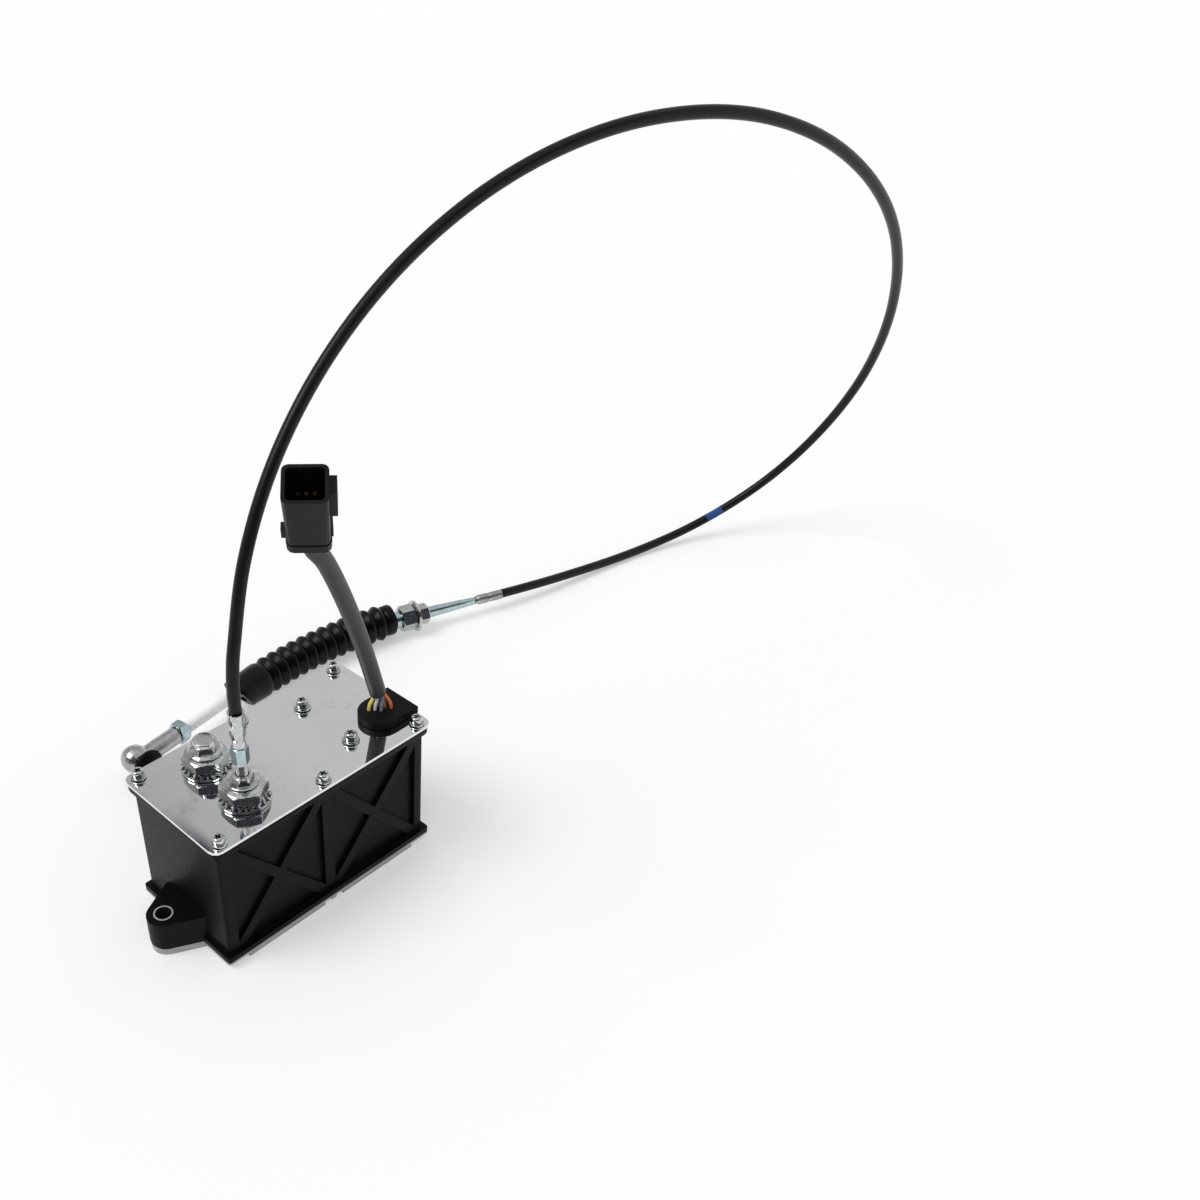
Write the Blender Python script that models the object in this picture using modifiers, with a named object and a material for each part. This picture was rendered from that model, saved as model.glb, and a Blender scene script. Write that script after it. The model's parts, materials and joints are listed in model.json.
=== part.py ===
# Engine governor actuator: a ribbed black housing with a bright cover, a drum and gear motor
# inside it, a push-pull control cable with a ball joint at its far end, and a short wired plug.
#
# Frame: millimetre sizes written in metres, +Z up. X runs along the housing and Y across it.
# The origin is on the floor under the middle of the housing.
import math

import bmesh
import bpy
import numpy as np
from mathutils import Matrix, Vector

for old in list(bpy.data.objects):
    bpy.data.objects.remove(old)

# Driving dimensions of the housing and its cover
GAP = 0.0003
OVERRUN = 0.0010
SKIN = 0.0001
HOUSING_LENGTH = 0.1384
HOUSING_WIDTH = 0.0701
HOUSING_CORNER = 0.0025
WALL = 0.0030
LONG_WALL = 0.0040
LIP_OVERHANG = 0.0028
LIP_HEIGHT = 0.0030
FOOT_OVERHANG = 0.0025
FOOT_HEIGHT = 0.0030
FOOT_CORNER = 0.0015
FLOOR_THICKNESS = 0.0035
INNER_CORNER = 0.0020
COVER_OVERHANG = 0.0005
COVER_THICKNESS = 0.0016
COVER_TOP = 0.0833
COVER_CORNER = 0.0050
GASKET_THICKNESS = 0.0006
GASKET_LEDGE = (0.0030, 0.0007)

# Base plate, its pads and the two ears
PAD_HEIGHT = 0.0030
BASE_THICKNESS = 0.0012
PAD_START = 0.0064
PAD_END_INSET = 0.0133
PAD_INSET = 0.0004
TAB_WIDTH = 0.0036
TAB_INSET = 0.0006
TAB_RISE = 0.0021
EAR_OUT = 0.0143
EAR_RADIUS = 0.0090
EAR_ROOT = 0.0180
EAR_TOP = 0.0223
EAR_FOOT_INSET = 0.0004
BUSH_OUTER = 0.0052
BUSH_BORE = 0.00435

# X ribs in the long faces
RIB_CELL_INNER = 0.0034
RIB_CELL_MARGIN = 0.0068
RIB_ABOVE_FOOT = 0.0005
RIB_BELOW_TOP = 0.0055
RIB_HALF = 0.0028
RIB_DEPTH = 0.0023

# Bosses under the cover screws and pillars under the board
BOSS_LENGTH = 0.0085
BOSS_DEPTH = 0.0040
BOSS_HEIGHT = 0.0156
BOSS_RECESS = 0.0004
BOSS_ROOT = 0.0010
BOSS_SHIFT = 0.0008
PILLAR = 0.0026
PILLAR_INSET = 0.0040

# Fasteners in the cover
SCREW_INSET = 0.0069
SCREW_SIDE_INSET = 0.00515
SCREW_SHANK = 0.0013
SCREW_LENGTH = 0.0080
SCREW_HEAD = 0.0029
SCREW_HEAD_HEIGHT = 0.0040
SCREW_COLLAR = 0.0038
FRAME_SCREW_SETBACK = 0.0125
FRAME_SCREW_SIDE_INSET = 0.01565
FRAME_SCREW_SHANK = 0.0020
FRAME_SCREW_HEAD = 0.0031
FRAME_SCREW_COLLAR = 0.0045
FRAME_SCREW_HEIGHT = 0.0048
COLLAR_HEIGHT = 0.0008
DOME_TOP = (0.50, 0.94)
DOME_SHOULDER = (0.90, 0.65)
CROSS_WIDTH = 0.0009
CROSS_LENGTH = 0.0036
CROSS_DEPTH = 0.0018
CROSS_TURN = math.radians(20)

# The stacks on the two ports in the cover
PLUG_PORT_SHIFT = 0.0010
PORT_STEM = 0.0080
PORT_STEM_DEPTH = 0.0093
FLAT_WASHER = 0.0135
FLAT_WASHER_THICKNESS = 0.0015
STAR_WASHER = 0.0125
STAR_WASHER_THICKNESS = 0.0012
PORT_NUT_FLATS = 0.0220
PORT_NUT_HEIGHT = 0.0064
PLUG_FLANGE = 0.0080
PLUG_FLATS = 0.0125
PLUG_HEX_HEIGHT = 0.0050
PLUG_CROWN = 0.0053
PLUG_CROWN_HEIGHT = 0.0065
PLUG_SHANK = 0.0040
PLUG_SHANK_INSET = 0.0020
LOCK_FLANGE = 0.0072
LOCK_FLATS = 0.0100
LOCK_HEX_HEIGHT = 0.0045
FLANGE_THICKNESS = 0.0014
FLANGE_CONE = 0.0010
STUD = 0.0030
COUPLING_FLATS = 0.0080
COUPLING_MIDDLE = 0.0286
COUPLING_HEIGHT = 0.0095
COUPLING_LEAD = 0.0010
FERRULE = 0.0043
FERRULE_NECK = 0.00344
FERRULE_FOOT = 0.00378
FERRULE_TOP = 0.0540
CRIMP_MARGIN = 0.12

# Grommet, wires, sheath and plug of the wiring harness
GROMMET_LENGTH = 0.0290
GROMMET_SIDE_INSET = 0.01965
GROMMET_HALF = 0.01185
GROMMET_RISE = 0.0045
GROMMET_SHOULDER = 0.0018
GROMMET_DEPTH = 0.0073
WIRE = 0.00095
WIRE_HOLES = {
    "yellow": (0.0081, 0.0042),
    "white": (0.0107, 0.0022),
    "grey": (0.0125, -0.0006),
    "brown": (0.0157, 0.0004),
    "orange": (0.0179, -0.0026),
    "blue": (0.0140, 0.0040),
}
WIRE_TURNS = {"yellow": 150, "white": 210, "grey": 270, "brown": 30, "orange": 330, "blue": 90}
WIRE_CIRCLE = 0.0027
WIRE_REACH = 0.0050
SHEATH = 0.0045
SHEATH_ROUTE = (
    (0.0562, -0.0133, 0.0984),
    (0.0461, -0.0161, 0.1281),
    (0.0336, -0.0215, 0.1573),
    (0.0190, -0.0285, 0.1861),
    (0.0065, -0.0344, 0.2078),
    (-0.0020, -0.0372, 0.2190),
    (-0.0055, -0.0394, 0.2263),
)
PLUG_BASE = (-0.0059, -0.0399, 0.2276)
PLUG_AXIS = (-0.290, -0.328, 0.899)
PLUG_ACROSS = (0.735, -0.678, 0.0)
PLUG_LENGTH = 0.0360
PLUG_BACK = (0.0181, 0.0155)
PLUG_MOUTH = (0.0192, 0.0190)
PLUG_CORNER = 0.0028
PLUG_WALL = 0.0016
PLUG_POCKET = 0.0250
POCKET_DRAFT = (0.0016, 0.0030)
POCKET_CORNER = 0.0018
COLLAR_STEP = 0.0012
COLLAR_SPAN = (-0.0002, 0.0042)
COLLAR_CORNER = 0.0034
LATCH_SIZE = (0.0040, 0.0090, 0.0150)
LATCH_PLACE = (0.0010, 0.0010, 0.0095)
SIDE_RIB_SIZE = (0.0030, 0.0030, 0.0150)
SIDE_RIB_PLACE = (-0.0002, -0.0020, 0.0122)
NIB_SIZE = (0.0040, 0.0040, 0.0060)
NIB_PLACE = (0.0002, -0.0030, 0.0090)
TERMINAL_INSET = (0.0062, 0.0070)
TERMINAL_HEIGHT = 0.0070
PIN = 0.0010
PIN_LENGTH = 0.0150
PIN_PITCH = (0.0034, 0.0048)

# Control cable, as it stands: up from the port, over in an arch and back along the floor
CABLE = 0.00315
CABLE_LEAD = 0.0100
CABLE_ROUTE = (
    (-0.0349, -0.0150, 0.1590),
    (-0.0312, -0.0132, 0.1715),
    (-0.0186, -0.0078, 0.2032),
    (0.0000, -0.0024, 0.2321),
    (0.0228, 0.0013, 0.2581),
    (0.0487, 0.0027, 0.2814),
    (0.0766, 0.0011, 0.3022),
    (0.1062, -0.0034, 0.3201),
    (0.1372, -0.0102, 0.3344),
    (0.1694, -0.0186, 0.3444),
    (0.2026, -0.0279, 0.3497),
    (0.2362, -0.0372, 0.3500),
    (0.2696, -0.0459, 0.3456),
    (0.3024, -0.0533, 0.3363),
    (0.3341, -0.0586, 0.3230),
    (0.3645, -0.0615, 0.3062),
    (0.3935, -0.0616, 0.2870),
    (0.4210, -0.0590, 0.2657),
    (0.4465, -0.0542, 0.2425),
    (0.4698, -0.0476, 0.2174),
    (0.4903, -0.0394, 0.1905),
    (0.5069, -0.0294, 0.1616),
    (0.5180, -0.0174, 0.1309),
    (0.5214, -0.0030, 0.0994),
    (0.5159, 0.0130, 0.0690),
    (0.5011, 0.0297, 0.0425),
    (0.4775, 0.0456, 0.0225),
    (0.4480, 0.0589, 0.0098),
    (0.4151, 0.0686, 0.0045),
    (0.3809, 0.0753, 0.0041),
    (0.3466, 0.0809, 0.0062),
    (0.3123, 0.0868, 0.0089),
    (0.2785, 0.0948, 0.0110),
)
CABLE_SPACING = 0.0210

# Far end: a threaded hub in line with the cable, a curved bellows and the push rod
HUB_AXIS = (0.9482, -0.3172, -0.0180)
HUB_SETBACK = 0.0192
HUB_THREAD = 0.0050
HUB_NUT_FLATS = 0.0165
HUB_NUT_HEIGHT = 0.0090
HUB_WASHER = 0.0105
HUB_WASHER_THICKNESS = 0.0020
HUB_COLLAR = 0.0065
BAR_START = 0.0124
BAR_TAPER_START = 0.0198
BAR_END = 0.0438
BAR_THICK = 0.00425
BAR_THIN = 0.0031
FAR_FERRULE = 0.0034
FAR_FERRULE_NECK = 0.00286
FAR_FERRULE_END = 0.0662
FAR_BANDS = ((0.58, 1.0), (0.12, 0.48))
FAR_NECKS = ((0.50, 0.56), (0.0, 0.10))
BELLOWS_RIGHT = (0.1970, 0.1220)
BELLOWS_RIGHT_ANGLE = math.radians(16.0)
BELLOWS_LEFT_ANGLE = math.radians(-8.0)
BELLOWS_CHORD = 0.1370
BELLOWS_BOW = 1.009
BELLOWS_AXIS_Z = 0.0123
BELLOWS_CREST = 0.0120
BELLOWS_ROOT = 0.0092
BELLOWS_CUFF = 0.0108
BELLOWS_CUFF_LENGTH = 0.0140
CUFF_RIM = 0.0010
CUFF_TAIL = 0.0020
BELLOWS_NECK_LENGTH = 0.0070
BELLOWS_FOLDS = 14
BELLOWS_BORE = 0.0079
FOLD_CREST = (0.34, 0.66)
ROD = 0.0040
ROD_INSIDE = 0.0240
ROD_BORE = 0.0021
ROD_BORE_DEPTH = 0.0440
ROD_THREAD = 0.0100
CORE = 0.0015
CORE_END_INSIDE = 0.0040
CORE_STRAIGHT = 0.0500
CORE_REACH = 0.0300
JAM_NUT_PLACE = 0.0405
JAM_NUT_FLATS = 0.0130
JAM_NUT_HEIGHT = 0.0065
SHANK = 0.0057
SHANK_LENGTH = 0.0267
HEAD = 0.0090
HEAD_SHIFT = 0.0025
HEAD_PLACE = 0.0045
BALL = 0.0060
MOUTH_SHARE = 0.93
STUD_NECK = 0.0032
STUD_LENGTH = 0.0205
BOOT = 0.0108
BOOT_START = 0.0072
BOOT_LENGTH = 0.0050
BOOT_BAND = (0.0010, 0.0030)
BOOT_LIP = 0.0025

# Drive inside the housing
SENSOR_CLEARANCE = 0.0015
SENSOR_RADIUS = 0.0080
SENSOR_LENGTH = 0.0070
CHEEK_THICKNESS = 0.0024
CHEEK_RADIUS = 0.0085
CHEEK_FOOT = 0.0120
CHEEK_SEAT = 0.0005
FRAME_BASE = 0.0020
FRAME_HALF_WIDTH = 0.0150
DRUM_SETBACK = 0.0185
DRUM_HEIGHT = 0.0300
DRUM_RADIUS = 0.0160
DRUM_HALF = 0.0035
DRUM_FLANGE = 0.0025
DRUM_GROOVE = 0.0018
GROOVE_DEPTH = 0.0016
NIPPLE = 0.0016
NIPPLE_INSET = 0.0006
NIPPLE_TURN = math.radians(75)
SHAFT = 0.0030
SHAFT_OUT = (0.0060, 0.0040)
DRIVE_CORE = 0.0013
DRIVE_CORE_TOP = 0.0100
DRIVE_CORE_STOP = 0.16
GEAR_MODULE = 0.0012
GEAR_TEETH = 30
PINION_TEETH = 10
GEAR_FACE = 0.0050
PINION_FACE = 0.0056
GEAR_SETBACK = 0.0095
CHEEK_SETBACK = 0.0070
TOOTH_ADDENDUM = 0.80
TOOTH_DEDENDUM = 1.10
PRESSURE_ANGLE = math.radians(25)
BACKLASH = 0.00030
SPINDLE = 0.0025
SPINDLE_BORE = 0.0028
SPINDLE_DEPTH = 0.0090
MOTOR_SETBACK = 0.0083
MOTOR_RADIUS = 0.0125
MOTOR_CAN = 0.0115
GEARBOX_LENGTH = 0.0200
MOTOR_END_SETBACK = 0.0039
WEB_THICKNESS = 0.0020
WEB_WINDOW = 0.0042
BRACKET_MARGIN = (0.0100, 0.0051)

# Circuit board and the header that takes the wires
BOARD_RISE = 0.0150
BOARD_START = 0.0010
BOARD_END_INSET = 0.0022
BOARD_SIDE_INSET = 0.00405
BOARD_THICKNESS = 0.0016
CHIP_SINK = 0.0005
CHIPS = (
    (0.013, -0.012, 0.010, 0.014, 0.0040),
    (0.013, 0.010, 0.012, 0.012, 0.0080),
    (0.033, 0.014, 0.014, 0.016, 0.0060),
)
HEADER_SIZE = (0.0150, 0.0130, 0.0110)
HEADER_PLACE = (0.0131, 0.0008)

# Places and heights that follow from the driving dimensions
LIP_LENGTH = HOUSING_LENGTH + 2 * LIP_OVERHANG
LIP_WIDTH = HOUSING_WIDTH + 2 * LIP_OVERHANG
COVER_LENGTH = LIP_LENGTH + 2 * COVER_OVERHANG
COVER_WIDTH = LIP_WIDTH + 2 * COVER_OVERHANG
FOOT_LENGTH = HOUSING_LENGTH + 2 * FOOT_OVERHANG
FOOT_WIDTH = HOUSING_WIDTH + 2 * FOOT_OVERHANG
INNER_X = HOUSING_LENGTH / 2 - WALL
INNER_Y = HOUSING_WIDTH / 2 - LONG_WALL
EAR_REACH = HOUSING_LENGTH / 2 + EAR_OUT
PAD_END = FOOT_LENGTH / 2 - PAD_END_INSET
COVER_BOTTOM = COVER_TOP - COVER_THICKNESS
GASKET_TOP = COVER_BOTTOM - GAP
GASKET_BOTTOM = GASKET_TOP - GASKET_THICKNESS
HOUSING_TOP = GASKET_BOTTOM - GAP
HOUSING_BOTTOM = PAD_HEIGHT + BASE_THICKNESS + GAP
FLOOR_TOP = HOUSING_BOTTOM + FLOOR_THICKNESS
RIB_CELL_OUTER = HOUSING_LENGTH / 2 - RIB_CELL_MARGIN
RIB_CELL_LOW = HOUSING_BOTTOM + FOOT_HEIGHT + RIB_ABOVE_FOOT
RIB_CELL_HIGH = HOUSING_TOP - RIB_BELOW_TOP
SCREW_X = COVER_LENGTH / 2 - SCREW_INSET
SCREW_Y = COVER_WIDTH / 2 - SCREW_SIDE_INSET
GROMMET_START = COVER_LENGTH / 2 - GROMMET_LENGTH
GROMMET_CENTRE_Y = GROMMET_SIDE_INSET - HOUSING_WIDTH / 2
GROMMET_BOTTOM = COVER_TOP - GROMMET_DEPTH
FRAME_SCREW_X = GROMMET_START - FRAME_SCREW_SETBACK
FRAME_SCREW_Y = HOUSING_WIDTH / 2 - FRAME_SCREW_SIDE_INSET
WIRE_ROOTS = {tint: (GROMMET_START + x, GROMMET_CENTRE_Y + y) for tint, (x, y) in WIRE_HOLES.items()}
CHEEK_LEFT = -INNER_X + SENSOR_CLEARANCE + SENSOR_LENGTH + GAP + CHEEK_THICKNESS
DRUM_X = CHEEK_LEFT + DRUM_SETBACK
DRUM_Z = FLOOR_TOP + DRUM_HEIGHT
DRUM_RIM = DRUM_RADIUS + DRUM_FLANGE
GEAR_X = DRUM_X + GEAR_SETBACK
CHEEK_RIGHT = GEAR_X + CHEEK_SETBACK
MOTOR_START = CHEEK_RIGHT + MOTOR_SETBACK
CAN_START = MOTOR_START + GEARBOX_LENGTH + GAP
CAN_LENGTH = GROMMET_START - MOTOR_END_SETBACK - CAN_START
PINION_Z = DRUM_Z + GEAR_MODULE * (GEAR_TEETH + PINION_TEETH) / 2
CABLE_PORT = (DRUM_X, -DRUM_RADIUS)
PLUG_PORT = (DRUM_X + PLUG_PORT_SHIFT, DRUM_RADIUS)
PORT_STEM_LOW = COVER_TOP - PORT_STEM_DEPTH
BOARD_END = INNER_X - BOARD_END_INSET
BOARD_HALF_WIDTH = INNER_Y - BOARD_SIDE_INSET
BOARD_Z = FLOOR_TOP + BOARD_RISE
BOARD_TOP = BOARD_Z + BOARD_THICKNESS
HEADER_LOW = BOARD_TOP + GAP
WASHER_LOW = COVER_TOP + GAP
WASHER_HIGH = WASHER_LOW + FLAT_WASHER_THICKNESS
STAR_LOW = WASHER_HIGH + GAP
STAR_HIGH = STAR_LOW + STAR_WASHER_THICKNESS
PORT_NUT_LOW = STAR_HIGH + GAP
PORT_NUT_HIGH = PORT_NUT_LOW + PORT_NUT_HEIGHT
TOP_NUT_LOW = PORT_NUT_HIGH + GAP
TOP_FLANGE_HIGH = TOP_NUT_LOW + FLANGE_THICKNESS
HUB_WAY = Vector(HUB_AXIS).normalized()
HUB_PLACE = Vector((*BELLOWS_RIGHT, BELLOWS_AXIS_Z)) + HUB_WAY * HUB_SETBACK
HUB_COLLAR_END = GAP - HUB_SETBACK
SHANK_START = JAM_NUT_PLACE + JAM_NUT_HEIGHT + GAP
BALL_PLACE = SHANK_START + SHANK_LENGTH + HEAD_PLACE
ROD_AXIS = Vector((-math.cos(BELLOWS_LEFT_ANGLE), math.sin(BELLOWS_LEFT_ANGLE), 0.0))
MEAN_ANGLE = (BELLOWS_RIGHT_ANGLE + BELLOWS_LEFT_ANGLE) / 2
CUFF_END = Vector((
    BELLOWS_RIGHT[0] - BELLOWS_CHORD * math.cos(MEAN_ANGLE),
    BELLOWS_RIGHT[1] + BELLOWS_CHORD * math.sin(MEAN_ANGLE),
    BELLOWS_AXIS_Z,
))

PART = bpy.data.collections.new("engine_governor_actuator")
CUTTERS = bpy.data.collections.new("cutters")
for group in (PART, CUTTERS):
    bpy.context.scene.collection.children.link(group)


def material(name, colour, roughness, metallic):
    made = bpy.data.materials.new(name)
    made.use_nodes = True
    shader = made.node_tree.nodes["Principled BSDF"]
    shader.inputs["Base Color"].default_value = (*colour, 1.0)
    shader.inputs["Roughness"].default_value = roughness
    shader.inputs["Metallic"].default_value = metallic
    return made


PLASTIC = material("black_plastic", (0.018, 0.018, 0.020), 0.45, 0.0)
RUBBER = material("black_rubber", (0.012, 0.012, 0.013), 0.60, 0.0)
SHEATHING = material("grey_sheath", (0.035, 0.035, 0.038), 0.50, 0.0)
COVER_METAL = material("cover_metal", (0.74, 0.74, 0.75), 0.10, 1.0)
ZINC = material("zinc", (0.66, 0.68, 0.68), 0.28, 1.0)
ALUMINIUM = material("aluminium", (0.62, 0.62, 0.62), 0.35, 1.0)
CHROME = material("chrome", (0.80, 0.80, 0.80), 0.12, 1.0)
GASKET_RUBBER = material("gasket_rubber", (0.020, 0.020, 0.020), 0.70, 0.0)
NYLON = material("white_nylon", (0.75, 0.74, 0.70), 0.50, 0.0)
BRASS = material("brass", (0.70, 0.52, 0.22), 0.30, 1.0)
BOARD = material("board_green", (0.02, 0.16, 0.06), 0.50, 0.0)
WIRE_COLOURS = {
    "yellow": (0.80, 0.62, 0.12),
    "white": (0.80, 0.78, 0.72),
    "grey": (0.30, 0.30, 0.40),
    "brown": (0.42, 0.16, 0.07),
    "orange": (0.78, 0.20, 0.05),
    "blue": (0.05, 0.22, 0.55),
}


def add(name, data, finish=None, cutter=False):
    made = bpy.data.objects.new(name, data)
    if cutter:
        made.hide_render = True
        made.display_type = "WIRE"
        CUTTERS.objects.link(made)
    else:
        PART.objects.link(made)
    if finish is not None:
        data.materials.append(finish)
    return made


def mesh_from(name, shape):
    bmesh.ops.recalc_face_normals(shape, faces=shape.faces)
    mesh = bpy.data.meshes.new(name)
    shape.to_mesh(mesh)
    shape.free()
    return mesh


def circle(x, y, radius, points=18, start=0.0):
    turns = [start + 2 * math.pi * i / points for i in range(points)]
    return [(x + radius * math.cos(turn), y + radius * math.sin(turn)) for turn in turns]


def rounded_rectangle(length, width, radius, steps=3):
    outline = []
    for quarter, (sign_x, sign_y) in enumerate(((1, 1), (-1, 1), (-1, -1), (1, -1))):
        centre = (sign_x * (length / 2 - radius), sign_y * (width / 2 - radius))
        for step in range(steps + 1):
            turn = math.pi / 2 * (quarter + step / steps)
            outline.append((centre[0] + radius * math.cos(turn), centre[1] + radius * math.sin(turn)))
    return outline


def slab(name, outlines, low, high, finish=None, cutter=False):
    # A flat piece from closed outlines in plan: the first is its edge, the others are holes.
    curve = bpy.data.curves.new(name, "CURVE")
    curve.dimensions = "2D"
    curve.fill_mode = "BOTH"
    curve.extrude = (high - low) / 2
    for outline in outlines:
        spline = curve.splines.new("POLY")
        spline.points.add(len(outline) - 1)
        for point, (x, y) in zip(spline.points, outline):
            point.co = (x, y, 0.0, 1.0)
        spline.use_cyclic_u = True
    guide = bpy.data.objects.new("guide", curve)
    CUTTERS.objects.link(guide)
    made = as_mesh(guide, name, finish, cutter)
    made.location.z = (low + high) / 2
    return made


def as_mesh(guide, name, finish, cutter):
    # A curve's evaluated shape as a closed mesh with welded caps.
    graph = bpy.context.evaluated_depsgraph_get()
    mesh = bpy.data.meshes.new_from_object(guide.evaluated_get(graph))
    mesh.materials.clear()
    shape = bmesh.new()
    shape.from_mesh(mesh)
    bmesh.ops.remove_doubles(shape, verts=shape.verts, dist=1e-6)
    bmesh.ops.recalc_face_normals(shape, faces=shape.faces)
    shape.to_mesh(mesh)
    shape.free()
    made = add(name, mesh, finish, cutter)
    bpy.data.objects.remove(guide)
    return made


def tube(name, points, radius, finish=None, resolution=2, radii=None, cutter=False):
    curve = bpy.data.curves.new(name, "CURVE")
    curve.dimensions = "3D"
    curve.bevel_depth = radius
    curve.bevel_resolution = resolution
    curve.use_fill_caps = True
    spline = curve.splines.new("POLY")
    spline.points.add(len(points) - 1)
    for index, (point, place) in enumerate(zip(spline.points, points)):
        point.co = (*place, 1.0)
        point.radius = radii[index] / radius if radii else 1.0
    guide = bpy.data.objects.new("guide", curve)
    CUTTERS.objects.link(guide)
    return as_mesh(guide, name, finish, cutter)


def turned(name, profile, finish=None, sides=18, cutter=False):
    # A closed profile of (radius, height) points at +X, down its outer side, swept about Z.
    mesh = bpy.data.meshes.new(name)
    points = [(radius, 0.0, height) for radius, height in profile]
    closed = min(radius for radius, height in profile) > 0.0
    count = len(points)
    edges = [(i, (i + 1) % count) for i in range(count if closed else count - 1)]
    mesh.from_pydata(points, edges, [])
    made = add(name, mesh, finish, cutter)
    sweep = made.modifiers.new("sweep", "SCREW")
    sweep.steps = sides
    sweep.render_steps = sides
    sweep.use_merge_vertices = True
    sweep.merge_threshold = 1e-5
    return made


def rod(name, radius, low, high, finish=None, sides=18, cutter=False):
    return turned(name, ((0, high), (radius, high), (radius, low), (0, low)), finish, sides, cutter)


def ring(name, outer, inner, low, high, finish=None, sides=18):
    profile = ((inner, high), (outer, high), (outer, low), (inner, low))
    return turned(name, profile, finish, sides)


def box(name, size, centre, finish=None, cutter=False, edge=0.0, steps=2):
    shape = bmesh.new()
    bmesh.ops.create_cube(shape, size=1.0)
    bmesh.ops.scale(shape, vec=size, verts=shape.verts)
    if edge:
        upright = [line for line in shape.edges if abs(line.verts[0].co.z - line.verts[1].co.z) > 1e-6]
        bmesh.ops.bevel(shape, geom=upright, offset=edge, segments=steps, affect="EDGES", profile=0.5)
    made = add(name, mesh_from(name, shape), finish, cutter)
    made.location = centre
    return made


def hexagon(flats):
    return circle(0, 0, flats / math.sqrt(3), 6, math.pi / 6)


def stacked(name, sections, finish):
    # A loft through rounded rectangles (length, width, corner radius, height) with flat ends.
    shape = bmesh.new()
    loops = []
    for length, width, corner, height in sections:
        outline = rounded_rectangle(length, width, corner)
        loops.append([shape.verts.new((x, y, height)) for x, y in outline])
    for lower, upper in zip(loops, loops[1:]):
        for i in range(len(lower)):
            j = (i + 1) % len(lower)
            shape.faces.new((lower[i], lower[j], upper[j], upper[i]))
    shape.faces.new(loops[0])
    shape.faces.new(loops[-1])
    return add(name, mesh_from(name, shape), finish)


def combine(target, tool, operation):
    tool.hide_render = True
    tool.display_type = "WIRE"
    if tool.name in PART.objects:
        PART.objects.unlink(tool)
        CUTTERS.objects.link(tool)
    joiner = target.modifiers.new(tool.name, "BOOLEAN")
    joiner.operation = operation
    joiner.solver = "EXACT"
    joiner.object = tool


def unite(target, tool):
    combine(target, tool, "UNION")


def cut(target, tool):
    combine(target, tool, "DIFFERENCE")


def pegs(name, pegs_wanted, sides=16):
    # Several upright round cutters in one object: (x, y, radius, low, high) each.
    shape = bmesh.new()
    for x, y, radius, low, high in pegs_wanted:
        middle = Matrix.Translation((x, y, (low + high) / 2))
        bmesh.ops.create_cone(shape, cap_ends=True, segments=sides, radius1=radius, radius2=radius,
                              depth=high - low, matrix=middle)
    return add(name, mesh_from(name, shape), cutter=True)


def stand(made, origin, axis, across=None):
    # Sets a piece made about Z with its Z along an axis, and its X along another if given.
    z_axis = Vector(axis).normalized()
    if across is None:
        turn = z_axis.to_track_quat("Z", "Y")
        made.matrix_world = Matrix.LocRotScale(Vector(origin), turn, None)
        return made
    x_axis = (Vector(across) - z_axis * z_axis.dot(Vector(across))).normalized()
    y_axis = z_axis.cross(x_axis)
    turn = Matrix((x_axis, y_axis, z_axis)).transposed().to_quaternion()
    made.matrix_world = Matrix.LocRotScale(Vector(origin), turn, None)
    return made


def smooth_route(route, spacing):
    # A Catmull-Rom curve through the route's points, read at even steps along it.
    points = np.array(route)
    ends = [2 * points[0] - points[1], *points, 2 * points[-1] - points[-2]]
    fine = []
    for before, start, end, after in zip(ends, ends[1:], ends[2:], ends[3:]):
        for t in np.linspace(0, 1, 12, endpoint=False):
            fine.append(0.5 * (2 * start + (end - before) * t
                               + (2 * before - 5 * start + 4 * end - after) * t ** 2
                               + (3 * start - before - 3 * end + after) * t ** 3))
    fine.append(points[-1])
    fine = np.array(fine)
    run = np.concatenate(([0.0], np.cumsum(np.linalg.norm(np.diff(fine, axis=0), axis=1))))
    stops = np.linspace(0, run[-1], max(2, round(run[-1] / spacing)) + 1)
    return [tuple(np.interp(stop, run, fine[:, k]) for k in range(3)) for stop in stops]


def ear_outline(side, grow=0.0):
    # One ear in plan: a round end and two straight sides running back into the wall.
    radius = EAR_RADIUS + grow
    root_x = HOUSING_LENGTH / 2 - WALL / 2
    root_y = EAR_ROOT + grow
    reach = math.hypot(EAR_REACH - root_x, root_y)
    tangent = math.atan2(root_y, EAR_REACH - root_x) - math.asin(radius / reach)
    start = math.pi / 2 - tangent
    outline = [(root_x, -root_y)]
    for i in range(11):
        turn = -start + 2 * start * i / 10
        outline.append((EAR_REACH + radius * math.cos(turn), radius * math.sin(turn)))
    outline.append((root_x, root_y))
    return [(side * x, y) for x, y in outline]


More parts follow.
